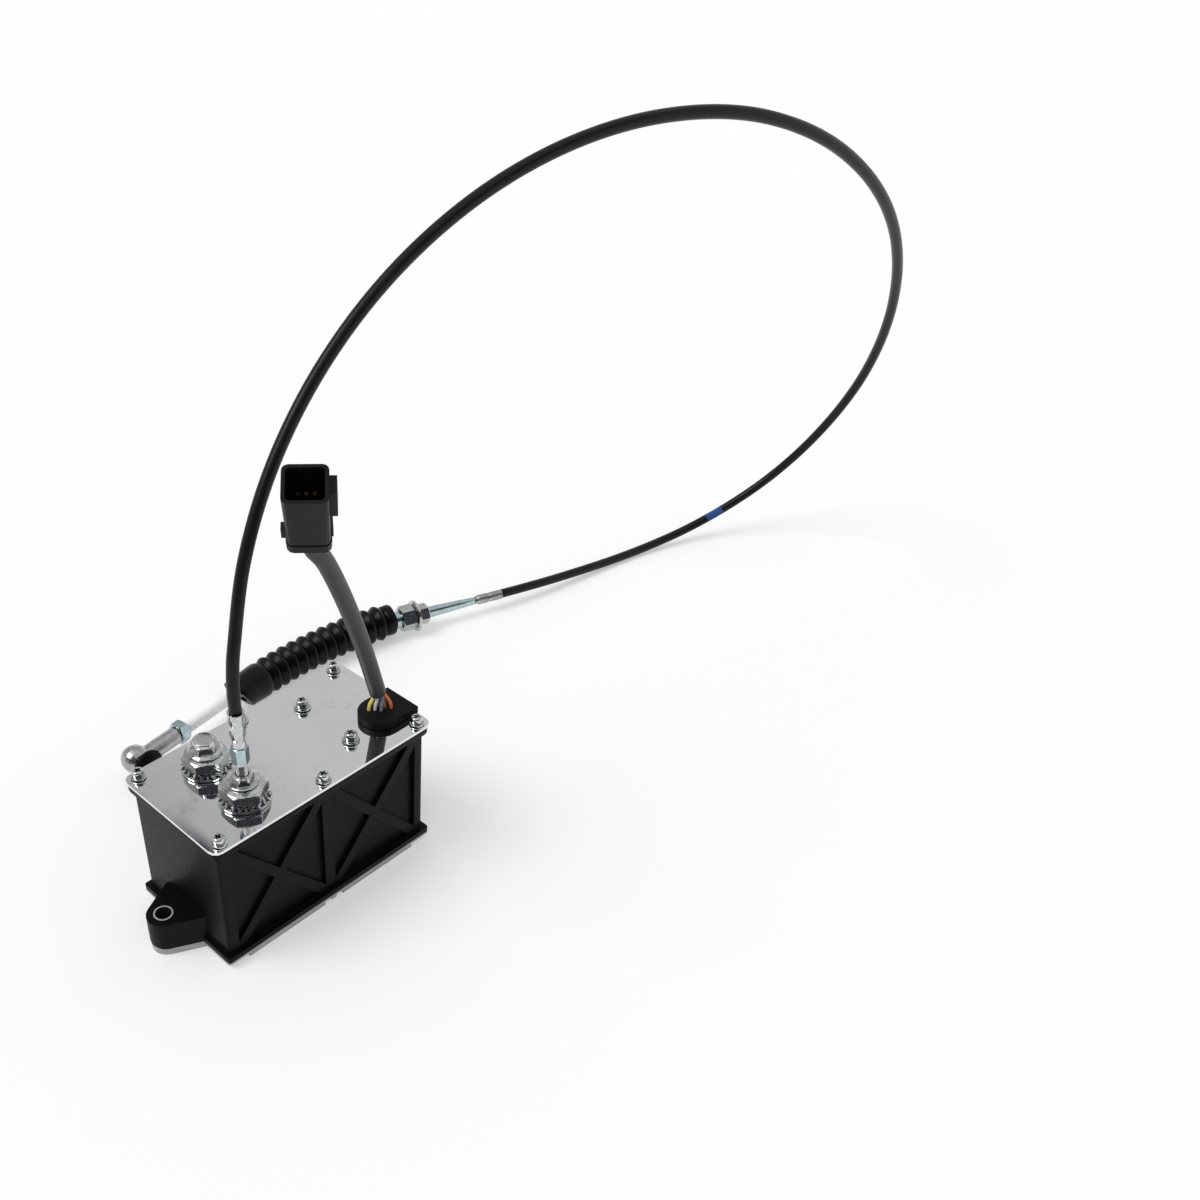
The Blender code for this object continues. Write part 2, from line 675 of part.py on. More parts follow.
# Housing: one moulded shell with lip, foot, ears, rib recesses and screw bosses
def build_housing():
    housing = stacked("housing", (
        (FOOT_LENGTH, FOOT_WIDTH, FOOT_CORNER, HOUSING_BOTTOM),
        (FOOT_LENGTH, FOOT_WIDTH, FOOT_CORNER, HOUSING_BOTTOM + FOOT_HEIGHT),
        (HOUSING_LENGTH, HOUSING_WIDTH, HOUSING_CORNER, HOUSING_BOTTOM + FOOT_HEIGHT),
        (HOUSING_LENGTH, HOUSING_WIDTH, HOUSING_CORNER, HOUSING_TOP - LIP_HEIGHT - LIP_OVERHANG / 2),
        (LIP_LENGTH, LIP_WIDTH, COVER_CORNER, HOUSING_TOP - LIP_HEIGHT),
        (LIP_LENGTH, LIP_WIDTH, COVER_CORNER, HOUSING_TOP),
        (2 * INNER_X, 2 * INNER_Y, INNER_CORNER, HOUSING_TOP),
        (2 * INNER_X, 2 * INNER_Y, INNER_CORNER, FLOOR_TOP),
    ), PLASTIC)
    for side in (-1, 1):
        ear = slab("ear_block", [ear_outline(side)], HOUSING_BOTTOM + GAP, EAR_TOP, cutter=True)
        unite(housing, ear)
    boss_size = (BOSS_LENGTH, BOSS_DEPTH + 2 * BOSS_ROOT, BOSS_HEIGHT)
    for x in (BOSS_SHIFT - SCREW_X, 0.0, SCREW_X - BOSS_SHIFT):
        for side in (-1, 1):
            middle = (x, side * (INNER_Y - BOSS_DEPTH / 2 + BOSS_ROOT),
                      HOUSING_TOP - BOSS_RECESS - BOSS_HEIGHT / 2)
            unite(housing, box("boss_block", boss_size, middle, cutter=True))
    for x in (BOARD_START + PILLAR_INSET, BOARD_END - PILLAR_INSET):
        for y in (-BOARD_HALF_WIDTH + PILLAR_INSET, BOARD_HALF_WIDTH - PILLAR_INSET):
            pillar = rod("pillar_block", PILLAR, FLOOR_TOP - OVERRUN, BOARD_Z - GAP, sides=12, cutter=True)
            pillar.location = (x, y, 0.0)
            unite(housing, pillar)
    recess_middle = HOUSING_WIDTH / 2
    for outline in rib_outlines():
        for side in (-1, 1):
            for end in (-1, 1):
                plan = [(end * x, z) for x, z in outline]
                recess = slab("rib_recess", [plan], -RIB_DEPTH, RIB_DEPTH, cutter=True)
                recess.rotation_euler.x = math.pi / 2
                recess.location = (0.0, side * recess_middle, 0.0)
                cut(housing, recess)
    holes = [(side * EAR_REACH, 0.0, BUSH_OUTER + GAP, 0.0, EAR_TOP + OVERRUN) for side in (-1, 1)]
    deep = COVER_TOP - SCREW_LENGTH - OVERRUN
    holes += [(x, y, SCREW_SHANK + GAP / 2, deep, HOUSING_TOP + OVERRUN) for x, y in screw_places()]
    cut(housing, pegs("housing_holes", holes))


def rib_outlines():
    # Four triangles that an X of ribs leaves in one cell.
    inner, outer = RIB_CELL_INNER, RIB_CELL_OUTER
    low, high = RIB_CELL_LOW, RIB_CELL_HIGH
    slope = math.atan2(high - low, outer - inner)
    step_x = RIB_HALF / math.sin(slope)
    step_z = RIB_HALF / math.cos(slope)
    middle = ((inner + outer) / 2, (low + high) / 2)
    return (
        ((inner + step_x, high), (outer - step_x, high), (middle[0], middle[1] + step_z)),
        ((inner + step_x, low), (outer - step_x, low), (middle[0], middle[1] - step_z)),
        ((inner, low + step_z), (inner, high - step_z), (middle[0] - step_x, middle[1])),
        ((outer, low + step_z), (outer, high - step_z), (middle[0] + step_x, middle[1])),
    )


def screw_places():
    return [(x, y) for x in (-SCREW_X, 0.0, SCREW_X) for y in (-SCREW_Y, SCREW_Y)]


def frame_screw_places():
    return [(FRAME_SCREW_X, side * FRAME_SCREW_Y) for side in (-1, 1)]


def grommet_outline(start, half, end, steps=12):
    outline = [(end, GROMMET_CENTRE_Y - half), (end, GROMMET_CENTRE_Y + half)]
    centre = start + half
    for i in range(steps + 1):
        turn = math.pi / 2 + math.pi * i / steps
        outline.append((centre + half * math.cos(turn), GROMMET_CENTRE_Y + half * math.sin(turn)))
    return outline


def notched_outline(length, width, corner, slot_start, slot_half):
    # A rounded rectangle whose +X edge is open to the grommet's slot.
    edge = rounded_rectangle(length, width, corner)
    slot = grommet_outline(slot_start, slot_half, length / 2)
    return [*edge, slot[0], *reversed(slot[2:]), slot[1]]


def open_frame(outer, inner, low, high):
    # A frame outline with a gap in its +X side between two values of Y.
    edge = outer[0][0]
    lining = inner[0][0]
    return [*outer, (edge, low), (lining, low), *reversed(inner), (lining, high), (edge, high)]


# Base plate under the housing, with its two pads, ear feet and ear holes
def build_base():
    base = slab("base_plate", [rounded_rectangle(FOOT_LENGTH, FOOT_WIDTH, FOOT_CORNER)],
                PAD_HEIGHT, PAD_HEIGHT + BASE_THICKNESS, ALUMINIUM)
    for side in (-1, 1):
        foot = [ear_outline(side, -EAR_FOOT_INSET)]
        unite(base, slab("ear_foot", foot, 0.0, PAD_HEIGHT + BASE_THICKNESS, cutter=True))
        middle = (side * (PAD_START + PAD_END) / 2, 0.0, (PAD_HEIGHT + BASE_THICKNESS / 2) / 2)
        size = (PAD_END - PAD_START, FOOT_WIDTH - 2 * PAD_INSET, PAD_HEIGHT + BASE_THICKNESS / 2)
        unite(base, box("pad", size, middle, cutter=True))
    tab = (TAB_WIDTH, FOOT_WIDTH - 2 * TAB_INSET, PAD_HEIGHT)
    unite(base, box("tab", tab, (0.0, 0.0, TAB_RISE), cutter=True))
    holes = [(side * EAR_REACH, 0.0, BUSH_BORE + GAP, -OVERRUN, EAR_TOP) for side in (-1, 1)]
    cut(base, pegs("base_holes", holes))
    for name, side in (("left", -1), ("right", 1)):
        bush = ring("ear_bush_" + name, BUSH_OUTER, BUSH_BORE, HOUSING_BOTTOM, EAR_TOP + GAP, ZINC)
        bush.location.x = side * EAR_REACH


# Cover plate and its gasket, both open at the +X edge for the grommet
def build_cover():
    slot_start = GROMMET_START + GROMMET_SHOULDER - GAP
    slot_half = GROMMET_HALF - GROMMET_SHOULDER + GAP
    ports = [circle(*place, PORT_STEM + GAP) for place in (CABLE_PORT, PLUG_PORT)]
    screws = [circle(*place, SCREW_SHANK + 2 * GAP, 10) for place in screw_places()]
    frame_screws = [circle(*place, FRAME_SCREW_SHANK + GAP, 12) for place in frame_screw_places()]
    edge = notched_outline(COVER_LENGTH, COVER_WIDTH, COVER_CORNER, slot_start, slot_half)
    slab("cover_plate", [edge, *ports, *screws, *frame_screws], COVER_BOTTOM, COVER_TOP, COVER_METAL)
    inside = (2 * (INNER_X - GASKET_LEDGE[0]), 2 * (INNER_Y - GASKET_LEDGE[1]))
    frame = open_frame(rounded_rectangle(LIP_LENGTH, LIP_WIDTH, COVER_CORNER),
                       rounded_rectangle(*inside, INNER_CORNER),
                       GROMMET_CENTRE_Y - slot_half, GROMMET_CENTRE_Y + slot_half)
    slab("cover_gasket", [frame, *screws], GASKET_BOTTOM, GASKET_TOP, GASKET_RUBBER)


def domed_screw(name, place, shank, head, height, collar, length):
    # A cross-recessed pan head on its own washer, with a plain shank below.
    low = COVER_TOP + GAP
    seat = low + COLLAR_HEIGHT
    top = seat + height
    profile = (
        (0, top), (head * DOME_TOP[0], seat + height * DOME_TOP[1]),
        (head * DOME_SHOULDER[0], seat + height * DOME_SHOULDER[1]), (head, seat),
        (collar, seat), (collar, low), (shank, low), (shank, COVER_TOP - length), (0, COVER_TOP - length),
    )
    screw = turned(name, profile, ZINC, 10)
    screw.location = (*place, 0.0)
    for turn in (0.0, math.pi / 2):
        size = (CROSS_LENGTH, CROSS_WIDTH, CROSS_DEPTH * 2)
        slot = box("cross_slot", size, (*place, top), cutter=True)
        slot.rotation_euler.z = turn + CROSS_TURN
        cut(screw, slot)
    return screw


# Six cover screws and two longer ones that hold the motor bracket
def build_screws():
    for number, place in enumerate(screw_places(), 1):
        domed_screw(f"cover_screw_{number}", place, SCREW_SHANK, SCREW_HEAD, SCREW_HEAD_HEIGHT,
                    SCREW_COLLAR, SCREW_LENGTH)
    for number, place in enumerate(frame_screw_places(), 1):
        domed_screw(f"frame_screw_{number}", place, FRAME_SCREW_SHANK, FRAME_SCREW_HEAD,
                    FRAME_SCREW_HEIGHT, FRAME_SCREW_COLLAR, SCREW_LENGTH)


def port_stack(kind, place, bore):
    # Flat washer, toothed washer and the hexagon port nut with its stem through the cover.
    washer = ring(kind + "_flat_washer", FLAT_WASHER, PORT_STEM + GAP, WASHER_LOW, WASHER_HIGH, ZINC)
    star = ring(kind + "_star_washer", STAR_WASHER, PORT_STEM + GAP, STAR_LOW, STAR_HIGH, ZINC)
    nut = slab(kind + "_port_nut", [hexagon(PORT_NUT_FLATS)], PORT_NUT_LOW, PORT_NUT_HIGH, ZINC)
    for made in (washer, star, nut):
        made.location.x, made.location.y = place
    stem = rod(kind + "_stem", PORT_STEM, PORT_STEM_LOW, PORT_NUT_LOW + OVERRUN, cutter=True)
    stem.location = (*place, 0.0)
    unite(nut, stem)
    cut(nut, pegs(kind + "_bore", [(*place, bore, PORT_STEM_LOW - OVERRUN, PORT_NUT_HIGH + OVERRUN)]))


# Plug stack: a flanged hexagon bolt closes the second port
def build_plug_stack():
    port_stack("plug", PLUG_PORT, PLUG_SHANK + GAP)
    crown_top = TOP_FLANGE_HIGH + PLUG_CROWN_HEIGHT
    shank_low = PORT_STEM_LOW + PLUG_SHANK_INSET
    bolt = turned("plug_bolt", (
        (0, crown_top), (PLUG_CROWN, crown_top), (PLUG_CROWN, TOP_FLANGE_HIGH + FLANGE_CONE),
        (PLUG_FLANGE, TOP_FLANGE_HIGH), (PLUG_FLANGE, TOP_NUT_LOW), (PLUG_SHANK, TOP_NUT_LOW),
        (PLUG_SHANK, shank_low), (0, shank_low),
    ), ZINC)
    bolt.location = (*PLUG_PORT, 0.0)
    head = slab("plug_hexagon", [hexagon(PLUG_FLATS)], TOP_FLANGE_HIGH - GAP,
                TOP_FLANGE_HIGH + PLUG_HEX_HEIGHT, cutter=True)
    head.location.x, head.location.y = PLUG_PORT
    unite(bolt, head)


# Cable stack: flanged lock nut and the crimped fitting that grips the cable
def build_cable_stack():
    port_stack("cable", CABLE_PORT, CORE + GAP)
    nut = ring("cable_lock_nut", LOCK_FLANGE, STUD + GAP, TOP_NUT_LOW, TOP_FLANGE_HIGH, ZINC)
    nut.location = (*CABLE_PORT, 0.0)
    body = slab("lock_hexagon", [hexagon(LOCK_FLATS), circle(0, 0, STUD + GAP)],
                TOP_FLANGE_HIGH - GAP, TOP_FLANGE_HIGH + LOCK_HEX_HEIGHT, cutter=True)
    body.location.x, body.location.y = CABLE_PORT
    unite(nut, body)
    low = COVER_TOP + COUPLING_MIDDLE - COUPLING_HEIGHT / 2
    high = COVER_TOP + COUPLING_MIDDLE + COUPLING_HEIGHT / 2
    end = COVER_TOP + FERRULE_TOP
    bands = (FERRULE, FERRULE_NECK, FERRULE, FERRULE_NECK, FERRULE_FOOT)
    band = (end - high) / len(bands)
    profile = [(0, end), (FERRULE, end)]
    for step, radius in enumerate(bands):
        profile += [(radius, end - band * (step + CRIMP_MARGIN)),
                    (radius, end - band * (step + 1 - CRIMP_MARGIN))]
    profile += [(FERRULE_FOOT, high - COUPLING_LEAD), (STUD, low + COUPLING_LEAD),
                (STUD, TOP_NUT_LOW), (0, TOP_NUT_LOW)]
    fitting = turned("cable_fitting", profile, ZINC, 16)
    fitting.location = (*CABLE_PORT, 0.0)
    coupling = slab("coupling_hexagon", [hexagon(COUPLING_FLATS)], low, high, cutter=True)
    coupling.location.x, coupling.location.y = CABLE_PORT
    unite(fitting, coupling)


# Grommet in the cover's slot, with one hole for each wire
def build_grommet():
    edge = COVER_LENGTH / 2
    top = COVER_TOP + GROMMET_RISE
    cap = [grommet_outline(GROMMET_START, GROMMET_HALF, edge)]
    grommet = slab("grommet", cap, COVER_TOP + GAP, top, RUBBER)
    start = GROMMET_START + GROMMET_SHOULDER
    half = GROMMET_HALF - GROMMET_SHOULDER
    neck = [grommet_outline(start, half, edge - GAP)]
    unite(grommet, slab("grommet_neck", neck, HOUSING_TOP + GAP, top - OVERRUN, cutter=True))
    foot = [grommet_outline(start, half, INNER_X - 2 * GAP)]
    unite(grommet, slab("grommet_foot", foot, GROMMET_BOTTOM, top - 2 * OVERRUN, cutter=True))
    holes = [(*root, WIRE + GAP, GROMMET_BOTTOM - OVERRUN, top + OVERRUN) for root in WIRE_ROOTS.values()]
    cut(grommet, pegs("wire_holes", holes, 8))


# Wires from the board's header, up through the grommet and into the sheath
def build_wires():
    top = COVER_TOP + GROMMET_RISE
    header_top = HEADER_LOW + HEADER_SIZE[2]
    route = smooth_route(SHEATH_ROUTE, SHEATH)
    mouth = Vector(route[0])
    way = (Vector(route[1]) - mouth).normalized()
    across = way.cross(Vector((0, 1, 0))).normalized()
    beside = way.cross(across)
    for tint, root in WIRE_ROOTS.items():
        turn = math.radians(WIRE_TURNS[tint])
        offset = WIRE_CIRCLE * (math.cos(turn) * -across + math.sin(turn) * -beside)
        goal = mouth + offset - way * 2 * GAP
        base = Vector((*root, top + GAP))
        points = [Vector((*root, header_top + GAP)), Vector((*root, GROMMET_BOTTOM)), base]
        for t in (0.2, 0.4, 0.6, 0.8, 1.0):
            lift = base + Vector((0, 0, WIRE_REACH))
            back = goal - way * WIRE_REACH
            points.append((1 - t) ** 3 * base + 3 * (1 - t) ** 2 * t * lift
                          + 3 * (1 - t) * t ** 2 * back + t ** 3 * goal)
        finish = material("wire_" + tint, WIRE_COLOURS[tint], 0.45, 0.0)
        tube("wire_" + tint, points, WIRE, finish)


# Sheath of the harness and the open plug at its end
def build_harness():
    tube("harness_sheath", smooth_route(SHEATH_ROUTE, SHEATH * 5), SHEATH, SHEATHING)
    back, mouth = PLUG_BACK, PLUG_MOUTH
    shell = plug_taper("connector_shell", back, mouth, 0.0, PLUG_LENGTH, PLUG_CORNER, PLASTIC)
    collar_size = (back[0] + COLLAR_STEP, back[1] + COLLAR_STEP)
    collar = plug_taper("plug_collar", collar_size, collar_size, *COLLAR_SPAN, COLLAR_CORNER, None)
    latch_x, latch_y, latch_z = LATCH_PLACE
    latch_middle = (mouth[0] / 2 + latch_x, latch_y, PLUG_LENGTH - latch_z)
    latch = box("plug_latch", LATCH_SIZE, latch_middle, cutter=True)
    rib_x, rib_y, rib_z = SIDE_RIB_PLACE
    rib = box("plug_rib", SIDE_RIB_SIZE, (back[0] / 2 + rib_x, rib_y, rib_z), cutter=True)
    nib_x, nib_y, nib_z = NIB_PLACE
    nib = box("plug_nib", NIB_SIZE, (-back[0] / 2 - nib_x, nib_y, nib_z), cutter=True)
    inner = (mouth[0] - 2 * PLUG_WALL, mouth[1] - 2 * PLUG_WALL)
    floor = (inner[0] - POCKET_DRAFT[0], inner[1] - POCKET_DRAFT[1])
    pocket = plug_taper("plug_pocket", floor, inner, PLUG_LENGTH - PLUG_POCKET, PLUG_LENGTH + OVERRUN,
                        POCKET_CORNER, None)
    for tool in (collar, latch, rib, nib):
        unite(shell, tool)
    cut(shell, pocket)
    deep = PLUG_LENGTH - PLUG_POCKET + GAP
    block_size = (inner[0] - TERMINAL_INSET[0], inner[1] - TERMINAL_INSET[1], TERMINAL_HEIGHT)
    block = box("connector_terminals", block_size, (0, 0, 0), BRASS)
    block.data.transform(Matrix.Translation((0, 0, deep + TERMINAL_HEIGHT / 2)))
    pins = []
    for column in (-1, 0, 1):
        for row in (-0.5, 0.5):
            place = (column * PIN_PITCH[0], row * PIN_PITCH[1])
            pins.append((*place, PIN, deep + TERMINAL_HEIGHT / 2, deep + PIN_LENGTH))
    pin_tool = pegs("pin_rows", pins, 8)
    unite(block, pin_tool)
    for made in (shell, collar, latch, rib, nib, pocket, block, pin_tool):
        local = made.matrix_basis.copy()
        frame = stand(made, PLUG_BASE, PLUG_AXIS, PLUG_ACROSS).matrix_world.copy()
        made.matrix_world = frame @ local


def plug_taper(name, low_size, high_size, low, high, corner, finish):
    shape = bmesh.new()
    loops = []
    for (length, width), height in ((low_size, low), (high_size, high)):
        outline = rounded_rectangle(length, width, corner)
        loops.append([shape.verts.new((x, y, height)) for x, y in outline])
    for i in range(len(loops[0])):
        j = (i + 1) % len(loops[0])
        shape.faces.new((loops[0][i], loops[0][j], loops[1][j], loops[1][i]))
    shape.faces.new(loops[0])
    shape.faces.new(loops[1])
    return add(name, mesh_from(name, shape), finish, cutter=finish is None)


# Control cable from the fitting on the cover to the far ferrule
def build_cable():
    low = COVER_TOP + FERRULE_TOP + GAP
    lead = [(*CABLE_PORT, low), (*CABLE_PORT, low + CABLE_LEAD)]
    tube("control_cable", smooth_route((*lead, *CABLE_ROUTE), CABLE_SPACING), CABLE, RUBBER)


def on_hub(made):
    return stand(made, HUB_PLACE, HUB_AXIS)


# Far fitting: ferrule, tapered bar with the threaded hub, two nuts and a washer
def build_far_fitting():
    half = HUB_WASHER_THICKNESS / 2
    on_hub(ring("hub_washer", HUB_WASHER, HUB_THREAD + GAP, -half, half, ZINC))
    nut_hole = circle(0, 0, HUB_THREAD + GAP)
    for name, side in (("hub_nut_inner", -1), ("hub_nut_outer", 1)):
        low, high = sorted((side * (half + GAP), side * (half + GAP + HUB_NUT_HEIGHT)))
        nut = slab(name, [hexagon(HUB_NUT_FLATS), nut_hole], low, high, ZINC)
        nut.data.transform(Matrix.Translation((0, 0, (low + high) / 2)))
        on_hub(nut)
    nut_end = half + 2 * GAP + HUB_NUT_HEIGHT
    on_hub(turned("far_hub", (
        (0, BAR_END), (BAR_THIN, BAR_END), (BAR_THICK, BAR_TAPER_START), (BAR_THICK, BAR_START),
        (HUB_THREAD, BAR_START), (HUB_THREAD, -nut_end), (HUB_COLLAR, -nut_end),
        (HUB_COLLAR, HUB_COLLAR_END), (0, HUB_COLLAR_END),
    ), ZINC))
    start = BAR_END + GAP
    length = FAR_FERRULE_END - start
    profile = [(0, FAR_FERRULE_END)]
    for band, neck in zip(FAR_BANDS, FAR_NECKS):
        for (low, high), radius in ((band, FAR_FERRULE), (neck, FAR_FERRULE_NECK)):
            profile += [(radius, start + length * high), (radius, start + length * low)]
    profile.append((0, start))
    on_hub(turned("far_ferrule", profile, ZINC, 16))


def bellows_line(count):
    # Centre line from the cuff's end: a straight cuff, then one arc to the hub.
    angle_step = (BELLOWS_RIGHT_ANGLE - BELLOWS_LEFT_ANGLE) / count
    arc = BELLOWS_CHORD * BELLOWS_BOW - BELLOWS_CUFF_LENGTH
    point = CUFF_END.copy()
    line = [(0.0, point.copy())]
    point -= ROD_AXIS * BELLOWS_CUFF_LENGTH
    line.append((BELLOWS_CUFF_LENGTH, point.copy()))
    for i in range(count):
        angle = BELLOWS_LEFT_ANGLE + angle_step * (i + 0.5)
        point -= Vector((-math.cos(angle), math.sin(angle), 0.0)) * arc / count
        line.append((BELLOWS_CUFF_LENGTH + arc * (i + 1) / count, point.copy()))
    return line


def along_bellows(stops):
    line = bellows_line(60)
    run = [distance for distance, point in line]
    return [Vector(tuple(np.interp(stop, run, [point[k] for distance, point in line]) for k in range(3)))
            for stop in stops]


# Bellows: a rubber sleeve with one smooth cuff and a row of folds, on a gentle bend
def build_bellows():
    total = bellows_line(60)[-1][0]
    fold_start = BELLOWS_CUFF_LENGTH
    fold = (total - BELLOWS_NECK_LENGTH - fold_start) / BELLOWS_FOLDS
    stops = [0.0, CUFF_RIM, fold_start - CUFF_TAIL, fold_start]
    radii = [BELLOWS_CUFF - CUFF_RIM, BELLOWS_CUFF, BELLOWS_CUFF, BELLOWS_ROOT]
    for i in range(BELLOWS_FOLDS):
        base = fold_start + fold * i
        stops += [base + fold * FOLD_CREST[0], base + fold * FOLD_CREST[1], base + fold]
        radii += [BELLOWS_CREST, BELLOWS_CREST, BELLOWS_ROOT]
    stops += [total - BELLOWS_NECK_LENGTH + CUFF_RIM, total]
    radii += [BELLOWS_CUFF, BELLOWS_CUFF]
    bellows = tube("bellows", along_bellows(stops), BELLOWS_ROOT, RUBBER, 3, radii)
    cuff_bore = ROD + 2 * GAP
    inner_stops = [0.0, BELLOWS_CUFF_LENGTH - GAP, BELLOWS_CUFF_LENGTH + GAP]
    inner_stops += [BELLOWS_CUFF_LENGTH + (total - BELLOWS_CUFF_LENGTH) * i / 14 for i in range(1, 15)]
    inner = along_bellows(inner_stops)
    inner[0] = CUFF_END + ROD_AXIS * OVERRUN
    inner[-1] = inner[-1] + (inner[-1] - inner[-2]).normalized() * OVERRUN
    inner_radii = [cuff_bore, cuff_bore] + [BELLOWS_BORE] * (len(inner) - 2)
    cut(bellows, tube("bellows_bore", inner, BELLOWS_BORE, radii=inner_radii, resolution=3, cutter=True))


# Flexible core between the hub and the push rod, hidden in the bellows
def build_rod_core():
    start = CUFF_END - ROD_AXIS * CORE_END_INSIDE
    bend = CUFF_END - ROD_AXIS * CORE_STRAIGHT
    hub_end = HUB_PLACE + HUB_WAY * (HUB_COLLAR_END - GAP)
    points = [start, bend]
    lift = bend - ROD_AXIS * CORE_REACH
    back = hub_end - HUB_WAY * CORE_REACH
    for i in range(1, 11):
        t = i / 10
        points.append((1 - t) ** 3 * bend + 3 * (1 - t) ** 2 * t * lift
                      + 3 * (1 - t) * t ** 2 * back + t ** 3 * hub_end)
    tube("rod_core", points, CORE, ZINC)


def on_rod(made, distance=0.0, across=(0.0, 0.0, 1.0)):
    return stand(made, CUFF_END + ROD_AXIS * distance, ROD_AXIS, across)


# Push rod, jam nut, ball socket with its dust boot, and the ball stud
def build_rod_end():
    tip = SHANK_START + ROD_THREAD
    push_rod = on_rod(rod("push_rod", ROD, -ROD_INSIDE, tip, CHROME))
    bore_end = ROD_BORE_DEPTH - ROD_INSIDE
    bore = rod("rod_bore", ROD_BORE, -ROD_INSIDE - OVERRUN, bore_end, sides=16, cutter=True)
    cut(push_rod, on_rod(bore))
    nut = slab("jam_nut", [hexagon(JAM_NUT_FLATS), circle(0, 0, ROD + GAP)], -JAM_NUT_HEIGHT / 2,
               JAM_NUT_HEIGHT / 2, ZINC)
    on_rod(nut, JAM_NUT_PLACE + JAM_NUT_HEIGHT / 2)
    socket = turned("rod_end", head_profile(HEAD), ZINC, 18)
    ball_centre = CUFF_END + ROD_AXIS * BALL_PLACE
    stud_way = ROD_AXIS.cross(Vector((0, 0, 1))).normalized()
    if stud_way.y > 0:
        stud_way = -stud_way
    stand(socket, ball_centre - stud_way * HEAD_SHIFT, stud_way)
    shank = rod("shank", SHANK, SHANK_START, SHANK_START + SHANK_LENGTH, cutter=True)
    unite(socket, on_rod(shank))
    thread = rod("rod_hole", ROD + GAP, SHANK_START - OVERRUN, tip + GAP, cutter=True)
    cut(socket, on_rod(thread))
    room = turned("ball_room", head_profile(BALL + GAP), sides=16, cutter=True)
    cut(socket, stand(room, ball_centre, stud_way))
    opening = rod("socket_mouth", BALL * MOUTH_SHARE, 0.0, STUD_LENGTH, cutter=True)
    cut(socket, stand(opening, ball_centre, stud_way))
    ball = [(0, -BALL)]
    for i in range(1, 8):
        turn = -math.pi / 2 + math.pi * i / 9
        ball.append((BALL * math.cos(turn), BALL * math.sin(turn)))
    ball += [(STUD_NECK, BALL), (STUD_NECK, STUD_LENGTH), (0, STUD_LENGTH)]
    stand(turned("ball_stud", tuple(reversed(ball)), ZINC), ball_centre, stud_way)
    boot_end = BOOT_START + BOOT_LENGTH
    boot = turned("dust_boot", (
        (STUD_NECK + GAP, boot_end), (STUD_NECK + BOOT_LIP, boot_end), (BOOT, BOOT_START + BOOT_BAND[1]),
        (BOOT, BOOT_START + BOOT_BAND[0]), (BALL, BOOT_START), (STUD_NECK + GAP, BOOT_START),
    ), RUBBER)
    stand(boot, ball_centre, stud_way)


def head_profile(radius, steps=8):
    turns = [math.pi / 2 - math.pi * i / steps for i in range(steps + 1)]
    points = [(radius * math.cos(turn), radius * math.sin(turn)) for turn in turns]
    points[0] = (0, radius)
    points[-1] = (0, -radius)
    return tuple(points)


def gear_outline(teeth, steps=2):
    # One spur gear in plan, with involute flanks thinned by the backlash.
    pitch = GEAR_MODULE * teeth / 2
    base = pitch * math.cos(PRESSURE_ANGLE)
    tip = pitch + TOOTH_ADDENDUM * GEAR_MODULE
    root = pitch - TOOTH_DEDENDUM * GEAR_MODULE
    half_tooth = math.pi / (2 * teeth) - BACKLASH / (4 * pitch)
    flare = math.tan(PRESSURE_ANGLE) - PRESSURE_ANGLE
    outline = []
    for tooth in range(teeth):
        centre = 2 * math.pi * tooth / teeth
        flank = []
        for i in range(steps + 1):
            radius = max(base, root) + (tip - max(base, root)) * i / steps
            pressure = math.acos(min(1.0, base / radius))
            spread = half_tooth + flare - (math.tan(pressure) - pressure)
            flank.append((radius, spread))
        flank.insert(0, (root, flank[0][1]))
        for radius, spread in flank:
            outline.append((radius * math.cos(centre - spread), radius * math.sin(centre - spread)))
        for radius, spread in reversed(flank):
            outline.append((radius * math.cos(centre + spread), radius * math.sin(centre + spread)))
    return outline


def spun(outline, turn):
    c, s = math.cos(turn), math.sin(turn)
    return [(x * c - y * s, x * s + y * c) for x, y in outline]


def along_x(made, x, z, y=0.0):
    # A piece made about Z turned so that its Z runs along +X, its X along +Z.
    return stand(made, (x, y, z), (1.0, 0.0, 0.0), (0.0, 0.0, 1.0))


